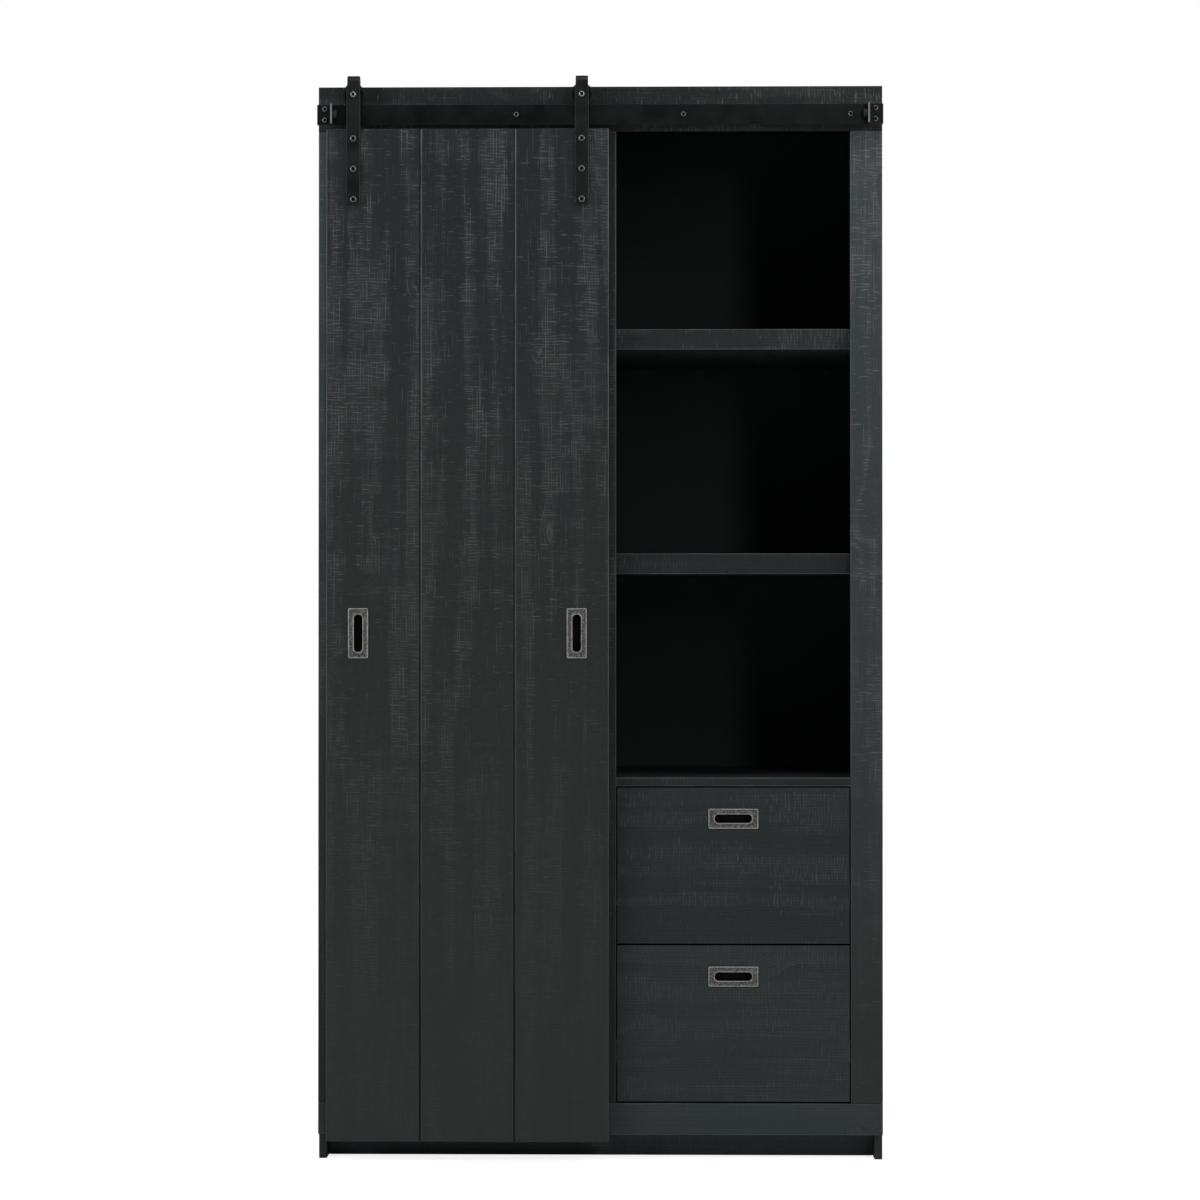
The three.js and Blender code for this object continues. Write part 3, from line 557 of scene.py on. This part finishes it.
def weigh_normals(piece):
    """Keeps large flat faces flat in shading, beside their rounded edges."""
    piece.modifiers.new("flat_faces", "WEIGHTED_NORMAL").keep_sharp = True


def loft(bm, rings, eased=(), shade_and_grime=()):
    """Skins a list of equal rings of points, and closes both ends. eased and grimed hold the indexes
    of strips of faces that are worn edges and hollows painted dark. A grimed last strip takes the closing
    face with it."""
    layer, dirt = eased_layer(bm), face_layer(bm, "shade_and_grime")
    verts = [[bm.verts.new(p) for p in ring] for ring in rings]
    count = len(rings[0])
    for i, (a, b) in enumerate(zip(verts, verts[1:])):
        for j in range(count):
            k = (j + 1) % count
            face = bm.faces.new((a[j], a[k], b[k], b[j]))
            face[layer] = 1.0 if i in eased else 0.0
            face[dirt] = 1.0 if i in shade_and_grime else 0.0
    bm.faces.new(list(reversed(verts[0])))
    bm.faces.new(verts[-1])[dirt] = 1.0 if len(rings) - 2 in shade_and_grime else 0.0


def placed(axis, origin):
    """A matrix whose Z runs along axis, from origin."""
    turn = UP.rotation_difference(Vector(axis)).to_matrix().to_4x4()
    return Matrix.Translation(Vector(origin)) @ turn


def turned(bm, profile, matrix, sides=48, eased=(), hexed=(), shade_and_grime=()):
    """A solid of revolution. profile is (radius, height) pairs; rings listed in hexed are hexagons
    whose flats lie at that radius. A first or last radius of 0 closes the solid with a point."""
    sixth = math.pi / 3
    rings = []
    for i, (radius, height) in enumerate(profile):
        ring = []
        for s in range(sides):
            turn = TURN * s / sides
            reach = radius
            if i in hexed:
                reach = radius / math.cos((turn % sixth) - sixth / 2)
            ring.append(matrix @ Vector((reach * math.cos(turn), reach * math.sin(turn), height)))
        rings.append(ring)
    before = set(bm.verts)
    loft(bm, rings, eased=eased, shade_and_grime=shade_and_grime)
    made = [v for v in bm.verts if v not in before]
    bmesh.ops.remove_doubles(bm, verts=made, dist=0.001 * MM)


def socket_screw(bm, axis, origin, radius, height, washer=True):
    """A button-head screw with a hexagon socket, its head standing along axis from origin."""
    matrix = placed(axis, origin)
    base = 0.0
    if washer:
        turned(
            bm,
            [(0, 0), (radius * 1.12, 0), (radius * 1.12, 0.9 * MM), (0, 0.9 * MM)],
            matrix,
            eased=(1,),
        )
        base = 0.6 * MM
    socket = radius * 0.42
    depth = height * 0.62
    profile = [
        (0, base),
        (radius * 0.94, base),
        (radius, base + height * 0.12),
        (radius * 0.985, base + height * 0.36),
        (radius * 0.9, base + height * 0.62),
        (radius * 0.74, base + height * 0.85),
        (radius * 0.56, base + height * 0.98),
        (socket * 1.12, base + height),
        (socket, base + height - depth * 0.15),
        (socket * 0.97, base + height - depth),
        (0, base + height - depth * 1.15),
    ]
    turned(bm, profile, matrix, eased=(3, 4, 5), hexed=(7, 8, 9), shade_and_grime=(8, 9))


def countersunk_screw(bm, axis, origin, radius):
    """A wood screw's flat head with a small hexagon recess, standing a little above origin."""
    matrix = placed(axis, origin)
    profile = [
        (0, -radius * 0.5),
        (radius * 0.4, -radius * 0.5),
        (radius, -radius * 0.04),
        (radius * 0.96, radius * 0.05),
        (radius * 0.5, radius * 0.12),
        (radius * 0.42, radius * 0.12),
        (radius * 0.1, -radius * 0.35),
        (0, -radius * 0.35),
    ]
    turned(bm, profile, matrix, sides=24, eased=(2,), hexed=(5,))


# ---------- boards ----------
def middle_of(node):
    low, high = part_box(node)
    return (low + high) / 2


def boards():
    """Stained boards: each has grain of its own, so no two neighbours match."""
    # Heights between which the painted light on the uprights and door planks changes.
    painted_light_heights = (0.25, 2.0)
    upright = {
        "side_panel_left": dict(seed=1.0, tone=1.1),
        "side_panel_right": dict(seed=2.3, tone=1.1),
        "centre_partition": dict(seed=3.9, tone=0.8, marks=0.5),
        # stile_left's tone is higher than stile_right's as painted light, making up for the door's shadow
        # on it.
        "stile_left": dict(seed=5.2, tone=3.8, marks=1.3, low="353838"),
        "stile_centre": dict(seed=6.4, tone=1.1, low="2c2f2f"),
        "stile_right": dict(seed=7.8, tone=2.9, marks=1.6, low="373a3a"),
    }
    for node, looks in upright.items():
        wood = rough_sawn_wood("wood_" + node, "Z", painted_light_by_height=painted_light_heights, **looks)
        refined(node, wood, BOARD_EASE, 3, dark_ends=node.startswith("stile"))
    level = {
        "top_panel": dict(seed=11.0, marks=0.6),
        "bottom_panel": dict(seed=12.4, marks=0.6, tone=0.8),
        # The plinth's high tone is painted light, for the light that the floor bounces onto it.
        "plinth": dict(seed=13.7, marks=0.3, tone=3.4),
        "head_fascia": dict(seed=15.1, marks=0.9, tone=1.0),
        "bottom_rail": dict(seed=16.6, marks=0.2, tone=2.1),
        "shelf_upper": dict(seed=18.2, marks=0.8, tone=1.1),
        "shelf_lower": dict(seed=19.5, marks=0.3, tone=0.95),
        "drawer_deck": dict(seed=21.0, marks=0.25, tone=0.95),
        "drawer_upper_front": dict(seed=51.0, marks=0.4, tone=1.3),
        "drawer_lower_front": dict(seed=57.3, marks=0.3, tone=1.6),
    }
    inset = ("top_panel", "bottom_panel", "plinth", "shelf_upper", "shelf_lower", "drawer_deck")
    for node, looks in level.items():
        wood = rough_sawn_wood("wood_" + node, "X", lines=0.5, **looks)
        width = SHELF_EASE if node in inset else BOARD_EASE
        joined = node in ("head_fascia", "bottom_rail")
        # The fascia's front is painted darker below the track, as the track's shadow.
        under_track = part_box("track_bar")[0].z if node == "head_fascia" else None
        rim = node.startswith("drawer_") and node.endswith("_front")
        refined(node, wood, width, 3, dark_ends=joined, dark_rim=rim, dark_below=under_track)
    for index, place in enumerate(("left", "middle", "right")):
        seed = 31.0 + 4.3 * index
        wood = rough_sawn_wood("wood_door_plank_" + place, "Z", seed, lines=1.0, painted_light_by_height=painted_light_heights)
        plank("door_plank_" + place, wood)
    refined("back_panel", BACK_BOARD, THIN_EASE)


def plank(node, wood):
    """A door plank. The left-hand sides of its V-grooves are painted near-black as shade, and their
    right-hand sides and the door's own two edges are rubbed pale and brightened further as a painted
    highlight."""
    bm = copy_of(node)
    shade_layer, rubbed = face_layer(bm, "shade_and_grime"), eased_layer(bm)
    door_sides = (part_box("door_plank_left")[0].x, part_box("door_plank_right")[1].x)

    def on_door_side(edge):
        return any(all(abs(v.co.x - x) < 0.1 * MM for v in edge.verts) for x in door_sides)

    round_off(bm, [e for e in bm.edges if on_door_side(e)], BOARD_EASE, 3)
    # The door's own edges: wear brightened further into a painted highlight.
    for face in bm.faces:
        face[rubbed] *= EDGE_RUB_AND_HIGHLIGHT
    bm.normal_update()

    def is_slope(face):
        return face.normal.y < -0.5 and 0.6 < abs(face.normal.x) < 0.8 and not face[rubbed]

    slopes = [f for f in bm.faces if is_slope(f)]
    # Painted shade on each groove's left-hand side, and a painted highlight over wear on its right-hand
    # side.
    for face in slopes:
        face[shade_layer] = 1.0
        face[rubbed] = 0.0 if face.normal.x > 0 else GROOVE_RUB_AND_HIGHLIGHT
    fronts = [f for f in bm.faces if f.normal.y < -0.99]
    brinks = [
        e for f in slopes if f[rubbed] for e in f.edges
        if any(other in fronts for other in e.link_faces)
    ]
    round_off(bm, brinks, GROOVE_BRINK, 2)
    dark_slopes = [f for f in bm.faces if f[shade_layer] and f.normal.x > 0]
    ease(bm, PLANK_EASE, 2, keep=dark_slopes)
    weigh_normals(stand_in(bm, node, wood))


def drawer_boxes():
    for i, drawer in enumerate(("drawer_upper", "drawer_lower")):
        for part, grain in (("side_left", "Y"), ("side_right", "Y"), ("back", "X"), ("bottom", "X")):
            node = f"{drawer}_{part}"
            wood = planed_wood("wood_" + node, grain, 61.0 + 3.3 * i + len(part))
            refined(node, wood, PLANED_EASE)
    for node in ("runner_packer_left", "runner_packer_right"):
        refined(node, planed_wood("wood_" + node, "Y", 71.0 + len(node)), PLANED_EASE)


# ---------- track ----------
def track():
    """The bar on its bolts and sleeves, with a stop and a bumper at each end."""
    refined("track_bar", SHADED_BLACK_STEEL, BAR_EASE, 2)
    bar_low, bar_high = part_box("track_bar")
    sleeve_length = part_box("head_fascia")[0].y - bar_high.y
    sleeves = bmesh.new()
    for index in range(1, 5):
        node = f"track_bolt_{index}"
        low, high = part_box(node)
        middle = (low + high) / 2
        seat = Vector((middle.x, bar_low.y, middle.z))
        track_bolt(node, seat, (high.x - low.x) / 2 * BOLT_HEAD_SHARE, high.y - bar_low.y)
        sleeve(sleeves, Vector((middle.x, bar_high.y, middle.z)), sleeve_length)
    finished(sleeves, "track_sleeves", "carcass", BLACK_STEEL)

    screws = bmesh.new()
    for place, side in (("left", LEFT), ("right", RIGHT)):
        end_stop(screws, place, side, bar_low.y)
        bumper(place, side)
    finished(screws, "end_stop_screws", "carcass", SCREW_STEEL)


def track_bolt(node, seat, head_radius, length):
    """A screw through the bar, its sleeve and the fascia."""
    bm = bmesh.new()
    socket_screw(bm, FRONT, seat, head_radius, BOLT_HEAD_HEIGHT)
    shank = [(0, 0), (BOLT_SHANK, 0), (BOLT_SHANK, length), (0, length)]
    turned(bm, shank, placed(BACK, seat), sides=24)
    stand_in(bm, node, SCREW_STEEL)


def sleeve(bm, origin, length):
    """A spacer between the bar and the fascia."""
    profile = [
        (SLEEVE_BORE, 0),
        (SLEEVE_RADIUS - SLEEVE_CHAMFER, 0),
        (SLEEVE_RADIUS, SLEEVE_CHAMFER),
        (SLEEVE_RADIUS, length - SLEEVE_CHAMFER),
        (SLEEVE_RADIUS - SLEEVE_CHAMFER, length),
        (SLEEVE_BORE, length),
    ]
    turned(bm, profile, placed(BACK, origin), eased=(1, 3))


def end_stop(screws, place, side, bar_front):
    """An angle, held by two screws, whose flange's front edge is painted bright: worn metal with a painted
    highlight.
    """
    low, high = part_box("end_stop_" + place)
    plate = copy_of("end_stop_" + place)
    plate.normal_update()
    bare_and_highlight = face_layer(plate, "bare_and_highlight")
    for face in plate.faces:
        if face.normal.y < -0.9 and face.calc_center_median().y < low.y + 1 * MM:
            face[bare_and_highlight] = 1.0
    ease(plate, PLATE_EASE)
    weigh_normals(stand_in(plate, "end_stop_" + place, SHADED_BLACK_STEEL))
    outer_end = max(abs(low.x), abs(high.x))
    x = side.x * (outer_end - STOP_SCREW_INSET)
    for rise in (-STOP_SCREW_RISE, STOP_SCREW_RISE):
        seat = (x, bar_front - STOP_PLATE, (low.z + high.z) / 2 + rise)
        socket_screw(screws, FRONT, seat, STOP_SCREW["radius"], STOP_SCREW["height"], washer=False)


def bumper(place, side):
    """A moulded rubber button with a waist against the flange and a crowned face."""
    node = "bumper_" + place
    low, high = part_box(node)
    radius = (high.z - low.z) / 2
    length = high.x - low.x
    root_x = high.x if side.x > 0 else low.x
    origin = (root_x, (low.y + high.y) / 2, (low.z + high.z) / 2)
    bm = bmesh.new()
    turned(
        bm,
        [
            (0, 0),
            (radius * 0.63, 0),
            (radius * 0.63, length * 0.2),
            (radius * 0.94, length * 0.27),
            (radius, length * 0.36),
            (radius, length * 0.74),
            (radius * 0.95, length * 0.88),
            (radius * 0.8, length * 0.97),
            (radius * 0.5, length),
            (0, length),
        ],
        placed(-side, origin),
    )
    stand_in(bm, node, RUBBER, 60)


def floor_guide():
    refined("door_guide", BLACK_STEEL, PLATE_EASE, 2)


# ---------- hangers and wheels ----------
def strap(node):
    """A flat bar, necked near the top and bent back over the wheel in an even half circle."""
    low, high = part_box(node)
    middle_x = (low.x + high.x) / 2
    middle_y = (low.y + high.y) / 2
    bend_radius = (high.y - low.y - STRAP_THICKNESS) / 2
    bend_z = high.z - bend_radius - STRAP_THICKNESS / 2
    tail_z = middle_of(node.replace("hanger_strap", "wheel_axle")).z - STRAP_TAIL_DROP
    wide = (high.x - low.x) / 2
    narrow = STRAP_NECK_WIDTH / 2

    # The bar's middle line from its front end, over the bend, to its rear end.
    neck = [(high.z - STRAP_FLARE_DROP, wide), (high.z - STRAP_NECK_DROP, narrow)]
    stations = []
    for z, half in [(low.z, wide - STRAP_CHAMFER), (low.z + STRAP_CHAMFER, wide), *neck]:
        stations.append((middle_y - bend_radius, z, FRONT, half))
    for i in range(STRAP_BEND_STEPS + 1):
        turn = math.pi * i / STRAP_BEND_STEPS
        outward = Vector((0, -math.cos(turn), math.sin(turn)))
        centre = Vector((0, middle_y, bend_z)) + outward * bend_radius
        stations.append((centre.y, centre.z, outward, narrow))
    for z, half in [*reversed(neck), (tail_z + STRAP_CHAMFER, wide), (tail_z, wide - STRAP_CHAMFER)]:
        stations.append((middle_y + bend_radius, z, BACK, half))

    bm = bmesh.new()
    layer = eased_layer(bm)
    loft(bm, [strap_section(Vector((middle_x, y, z)), out, half) for y, z, out, half in stations])
    bm.normal_update()
    for face in bm.faces:
        if 0.3 < abs(face.normal.x) < 0.95:
            face[layer] = 1.0
    stand_in(bm, node, BLACK_STEEL)

    screws = bmesh.new()
    for rise in STRAP_SCREW_RISES:
        seat = (middle_x, low.y, low.z + rise)
        socket_screw(screws, FRONT, seat, SCREW_RADIUS, SCREW_HEIGHT, washer=False)
    finished(screws, node.replace("hanger_", "") + "_screws", "door", SCREW_STEEL)


def strap_section(centre, outward, half):
    """The strap's chamfered section at one point of its middle line."""
    depth = STRAP_THICKNESS / 2
    corners = [
        (-half, -depth + STRAP_CHAMFER),
        (-half, depth - STRAP_CHAMFER),
        (-half + STRAP_CHAMFER, depth),
        (half - STRAP_CHAMFER, depth),
        (half, depth - STRAP_CHAMFER),
        (half, -depth + STRAP_CHAMFER),
        (half - STRAP_CHAMFER, -depth),
        (-half + STRAP_CHAMFER, -depth),
    ]
    return [centre + RIGHT * a + outward * b for a, b in corners]


def axle(node):
    """The axle bolt: a socket head in front of the strap, a shank, and a hexagon nut behind."""
    low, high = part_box(node)
    middle = (low + high) / 2
    strap_low, strap_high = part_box(node.replace("wheel_axle", "hanger_strap"))
    front = Vector((middle.x, strap_low.y, middle.z))
    bm = bmesh.new()
    socket_screw(bm, FRONT, front, AXLE_HEAD_RADIUS, strap_low.y - low.y, washer=False)
    length = strap_high.y - strap_low.y
    shank = [(0, 0), (AXLE_SHANK, 0), (AXLE_SHANK, length), (0, length)]
    turned(bm, shank, placed(BACK, front))
    height = high.y - strap_high.y
    flat = AXLE_NUT_CORNER * math.cos(math.pi / 6)
    nut = [(0, 0), (flat, 0), (flat, height * 0.85), (flat * 0.9, height), (0, height)]
    turned(bm, nut, placed(BACK, (middle.x, strap_high.y, middle.z)), eased=(2,), hexed=(1, 2, 3))
    stand_in(bm, node, ZINC)


def wheel(node):
    """A turned wheel: grooved tread, web and hub."""
    low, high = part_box(node)
    middle = (low + high) / 2
    rim = (high.z - low.z) / 2
    half = (high.y - low.y) / 2
    face = half * 0.75
    tread = rim * 0.8
    web = face - 1.2 * MM
    side = [
        (WHEEL_BORE, half),
        (rim * 0.36, half),
        (rim * 0.38, half - 0.5 * MM),
        (rim * 0.38, web),
        (rim * 0.7, web),
        (rim * 0.74, face),
        (rim - WHEEL_LIP, face),
        (rim - WHEEL_LIP * 0.3, face - WHEEL_LIP * 0.3),
        (rim, face - WHEEL_LIP),
        (rim, face * 0.67),
        (rim - 0.6 * MM, face * 0.62),
        (tread + 0.8 * MM, face * 0.52),
        (tread, face * 0.45),
    ]
    other = [(r, -h) for r, h in reversed(side)]
    bm = bmesh.new()
    turned(bm, side + other + [side[0]], placed(BACK, middle), sides=96, eased=(1, 24))
    stand_in(bm, node, SHADED_BLACK_STEEL)


# ---------- flush pulls ----------
def rounded_outline(width, height, radius, steps=8):
    """Points round a rectangle with round corners, the same number for any size."""
    points = []
    for quarter, (sx, sz) in enumerate(((1, 1), (-1, 1), (-1, -1), (1, -1))):
        for i in range(steps + 1):
            turn = math.pi / 2 * (quarter + i / steps)
            x = sx * (width / 2 - radius) + radius * math.cos(turn)
            z = sz * (height / 2 - radius) + radius * math.sin(turn)
            points.append((x, z))
    return points


def flush_pull(node):
    """A cast plate with a raised rim round a slotted pan, and two small screws."""
    low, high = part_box(node)
    middle = (low + high) / 2
    width, height = high.x - low.x, high.z - low.z
    upright = height > width
    plate = (max(width, height), min(width, height))
    face, back = low.y, high.y
    seat = face + PULL_RISE
    pan_corner, slot_corner = PULL_PAN[1] / 2, PULL_SLOT[1] / 2

    def ring(size, grow, corner, y):
        long, wide = size[0] + grow, size[1] + grow
        across, up = (wide, long) if upright else (long, wide)
        return [(middle.x + x, y, middle.z + z) for x, z in rounded_outline(across, up, corner)]

    # From the pan's back, out and round the plate, over its two rims, and down into the slot.
    rings = [
        ring(PULL_PAN, -4 * MM, pan_corner - 2.6 * MM, back),
        ring(PULL_PAN, 0, pan_corner - 0.6 * MM, back - 2 * MM),
        ring(PULL_PAN, 0, pan_corner - 0.6 * MM, seat),
        ring(plate, -0.6 * MM, 2.6 * MM, seat),
        ring(plate, 0, 3 * MM, seat - 0.5 * MM),
        ring(plate, 0, 3 * MM, face + 0.6 * MM),
        ring(plate, -1.2 * MM, 2.5 * MM, face),
        ring(plate, -4 * MM, 1.8 * MM, face),
        ring(plate, -5.5 * MM, 1.5 * MM, face + PULL_SINK),
        ring(PULL_SLOT, 5 * MM, slot_corner + 1.9 * MM, face + PULL_SINK),
        ring(PULL_SLOT, 3.6 * MM, slot_corner + 1.2 * MM, face),
        ring(PULL_SLOT, 1.6 * MM, slot_corner + 0.2 * MM, face),
        ring(PULL_SLOT, 0, slot_corner - 0.6 * MM, face + 0.8 * MM),
        ring(PULL_SLOT, 0, slot_corner - 0.6 * MM, back - 4 * MM),
        ring(PULL_SLOT, -3 * MM, slot_corner - 2.1 * MM, back - 2 * MM),
    ]
    bm = bmesh.new()
    loft(bm, rings, eased=(5, 6, 10, 11), shade_and_grime=(12, 13))
    stand_in(bm, node, PEWTER, 50)

    screws = bmesh.new()
    lengthwise = UP if upright else RIGHT
    for offset in (PULL_SCREW["inset"] - plate[0] / 2, plate[0] / 2 - PULL_SCREW["inset"]):
        seat = Vector((middle.x, face + PULL_SINK, middle.z)) + lengthwise * offset
        countersunk_screw(screws, FRONT, seat, PULL_SCREW["radius"])
    finished(screws, node + "_screws", BODY_OF[node], PEWTER)


# ---------- inside ----------
def hanging_rail():
    """A tube with a cupped flange at each end."""
    node = "hanging_rail"
    low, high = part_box(node)
    middle = (low + high) / 2
    half = (high.x - low.x) / 2
    flange = (high.z - low.z) / 2
    end = [
        (RAIL_BORE, half),
        (flange - 0.8 * MM, half),
        (flange, half - 0.8 * MM),
        (flange, half - 2.8 * MM),
        (flange - 1.2 * MM, half - 4 * MM),
        (RAIL_CUP + 1.5 * MM, half - 4.4 * MM),
        (RAIL_CUP, half - 6 * MM),
        (RAIL_CUP, half - RAIL_CUP_DEPTH + 1.2 * MM),
        (RAIL_CUP - 1.2 * MM, half - RAIL_CUP_DEPTH),
        (RAIL_TUBE, half - RAIL_CUP_DEPTH),
    ]
    other = [(r, -a) for r, a in reversed(end)]
    bm = bmesh.new()
    turned(bm, end + other + [end[0]], placed(RIGHT, middle), sides=64, eased=(1, 3, 7))
    stand_in(bm, node, ZINC, 40)

    screws = bmesh.new()
    inset = RAIL_SCREW["inset"]
    for x, axis in ((low.x + inset, RIGHT), (high.x - inset, LEFT)):
        for degrees in (90, 210, 330):
            turn = math.radians(degrees)
            out = Vector((0, math.cos(turn), math.sin(turn))) * RAIL_SCREW["circle"]
            seat = Vector((x, middle.y, middle.z)) + out
            countersunk_screw(screws, axis, seat, RAIL_SCREW["radius"])
    finished(screws, "hanging_rail_screws", "carcass", ZINC)


def runners():
    """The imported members, plus the members that are screwed to the drawers' sides."""
    for drawer in ("drawer_upper", "drawer_lower"):
        members, screws = bmesh.new(), bmesh.new()
        for place, out in (("left", LEFT), ("right", RIGHT)):
            for member in ("fixed", "middle"):
                refined(f"{drawer}_runner_{member}_{place}", ZINC, RUNNER_EASE, 1)
            inner_member(members, screws, drawer, place, out)
        body = BODY_OF[drawer + "_front"]
        finished(members, drawer + "_runner_inner_members", body, ZINC)
        finished(screws, drawer + "_runner_screws", body, ZINC)


def inner_member(members, screws, drawer, place, out):
    """A channel along the drawer's side, as long as the middle member, with three screws."""
    low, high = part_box(f"{drawer}_runner_middle_{place}")
    side_low, side_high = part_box(f"{drawer}_side_{place}")
    face_x = side_low.x if out.x < 0 else side_high.x
    z = (low.z + high.z) / 2
    half = INNER_MEMBER["height"] / 2
    wall = INNER_MEMBER["wall"]
    reach = INNER_MEMBER["reach"]
    outline = [
        (0, -half),
        (reach, -half),
        (reach, wall - half),
        (wall, wall - half),
        (wall, half - wall),
        (reach, half - wall),
        (reach, half),
        (0, half),
    ]
    from_side = [(face_x + out.x * (a + INNER_MEMBER["gap"]), z + b) for a, b in outline]
    loft(members, [[(x, y, z) for x, z in from_side] for y in (low.y, high.y)])
    for share in (0.08, 0.5, 0.92):
        y = low.y + (high.y - low.y) * share
        seat = (face_x + out.x * (wall + 2 * INNER_MEMBER["gap"]), y, z)
        countersunk_screw(screws, out, seat, RUNNER_SCREW_RADIUS)


def back_fixings():
    """Screws round the back panel, and into the partition in front of it."""
    low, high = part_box("back_panel")
    inset = BACK_SCREW["inset"]
    columns, rows = BACK_SCREW["columns"], BACK_SCREW["rows"]
    bottom = low.z + 5 * inset
    top = high.z - inset
    xs = [low.x + inset + (high.x - low.x - 2 * inset) * i / (columns - 1) for i in range(columns)]
    zs = [bottom + (top - bottom) * i / (rows - 1) for i in range(rows)]
    spots = [(x, z) for x in (xs[0], xs[-1], 0.0) for z in zs]
    for z in (top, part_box("bottom_panel")[0].z + inset):
        spots += [(x, z) for x in xs[1:-1] if abs(x) > inset]
    screws = bmesh.new()
    for x, z in spots:
        countersunk_screw(screws, BACK, (x, high.y, z), BACK_SCREW["radius"])
    finished(screws, "back_panel_screws", "carcass", ZINC)


# ---------- floor, lights and camera ----------
SOFT_LIGHT = 0.06
FLOOR_REACH = 9.0  # from the middle to each side
GLOW_REACH = (0.9, 4.0)  # metres from the middle between which the floor's glow rises
GLOW = (0.84, 1.0)
LENS = 97.4
EYE = (0.108, -6.752, 1.062)
AIM_X, AIM_Z = -0.0002, 1.1206  # where the camera aims, on the frame's front


def studio():
    bpy.context.scene.view_settings.view_transform = "Standard"
    backdrop()
    ground()


def backdrop():
    """White to the camera, and a faint even light to everything else."""
    world = bpy.data.worlds.new("studio")
    bpy.context.scene.world = world
    world.use_nodes = True
    tree = world.node_tree
    tree.nodes.clear()
    output = tree.nodes.new("ShaderNodeOutputWorld")
    mix = tree.nodes.new("ShaderNodeMixShader")
    soft, white = tree.nodes.new("ShaderNodeBackground"), tree.nodes.new("ShaderNodeBackground")
    soft.inputs["Color"].default_value = (1, 1, 1, 1)
    soft.inputs["Strength"].default_value = SOFT_LIGHT
    white.inputs["Color"].default_value = (1, 1, 1, 1)
    white.inputs["Strength"].default_value = 1.0
    tree.links.new(tree.nodes.new("ShaderNodeLightPath").outputs["Is Camera Ray"], mix.inputs[0])
    tree.links.new(soft.outputs[0], mix.inputs[1])
    tree.links.new(white.outputs[0], mix.inputs[2])
    tree.links.new(mix.outputs[0], output.inputs["Surface"])


def ground():
    """A pale floor that glows to the camera, more so far from the wardrobe."""
    g = Graph("floor")
    x, y, _ = g.position()
    grain = g.noise(g.vector(g.times(x, 40.0), g.times(y, 40.0), 0.0), 3.0)
    g.set(Base_Color=g.mix(g.step(grain, 0.3, 0.7), linear("eeeeee"), linear("f6f6f6")))
    g.set(Roughness=g.step(grain, 0.3, 0.7, 0.7, 0.85))
    radius = g.math("SQRT", g.add(g.times(x, x), g.times(y, y)))
    glow = g.step(radius, *GLOW_REACH, *GLOW)
    g.shader.inputs["Emission Color"].default_value = (1, 1, 1, 1)
    g.set(Emission_Strength=g.times(glow, g.node("LightPath").outputs["Is Camera Ray"]))
    bm = bmesh.new()
    bmesh.ops.create_grid(bm, x_segments=8, y_segments=8, size=FLOOR_REACH)
    mesh = bpy.data.meshes.new("floor")
    bm.to_mesh(mesh)
    bm.free()
    mesh.materials.append(g.material)
    floor = bpy.data.objects.new("floor", mesh)
    bpy.context.scene.collection.objects.link(floor)


def softbox(name, azimuth, distance, height, size, power, aim_z):
    """A rectangular light. Azimuth 0 is in front of the wardrobe, and 90 is to its right."""
    turn = math.radians(azimuth)
    place = Vector((math.sin(turn) * distance, -math.cos(turn) * distance, height))
    data = bpy.data.lights.new(name, "AREA")
    data.shape = "RECTANGLE"
    data.size, data.size_y = size
    data.energy = power
    light = bpy.data.objects.new(name, data)
    light.location = place
    light.rotation_euler = (Vector((0, 0, aim_z)) - place).to_track_quat("-Z", "Y").to_euler()
    bpy.context.scene.collection.objects.link(light)


def lights():
    softbox("strip_front_right", 25, 4.6, 2.7, (0.55, 2.4), 20, 1.3)
    softbox("box_left", -58, 4.2, 2.6, (2.4, 2.6), 60, 1.2)
    softbox("box_right", 66, 4.2, 2.6, (2.4, 2.6), 42, 1.2)
    softbox("top", 8, 1.9, 5.2, (3.2, 2.4), 36, 1.5)
    softbox("rear_left", -140, 4.5, 3.0, (2.4, 2.4), 24, 1.1)
    softbox("rear_right", 142, 4.5, 3.0, (2.4, 2.4), 24, 1.1)


def camera():
    data = bpy.data.cameras.new("camera")
    data.sensor_width = 36
    data.lens = LENS
    eye = bpy.data.objects.new("camera", data)
    eye.location = EYE
    target = Vector((AIM_X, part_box("head_fascia")[0].y, AIM_Z))
    eye.rotation_euler = (target - eye.location).to_track_quat("-Z", "Y").to_euler()
    bpy.context.scene.collection.objects.link(eye)
    bpy.context.scene.camera = eye


camera()
studio()
lights()
boards()
drawer_boxes()
track()
floor_guide()
for hand in ("left", "right"):
    strap("hanger_strap_" + hand)
    axle("wheel_axle_" + hand)
    wheel("wheel_" + hand)
    flush_pull("door_pull_" + hand)
flush_pull("drawer_upper_pull")
flush_pull("drawer_lower_pull")
hanging_rail()
runners()
back_fixings()
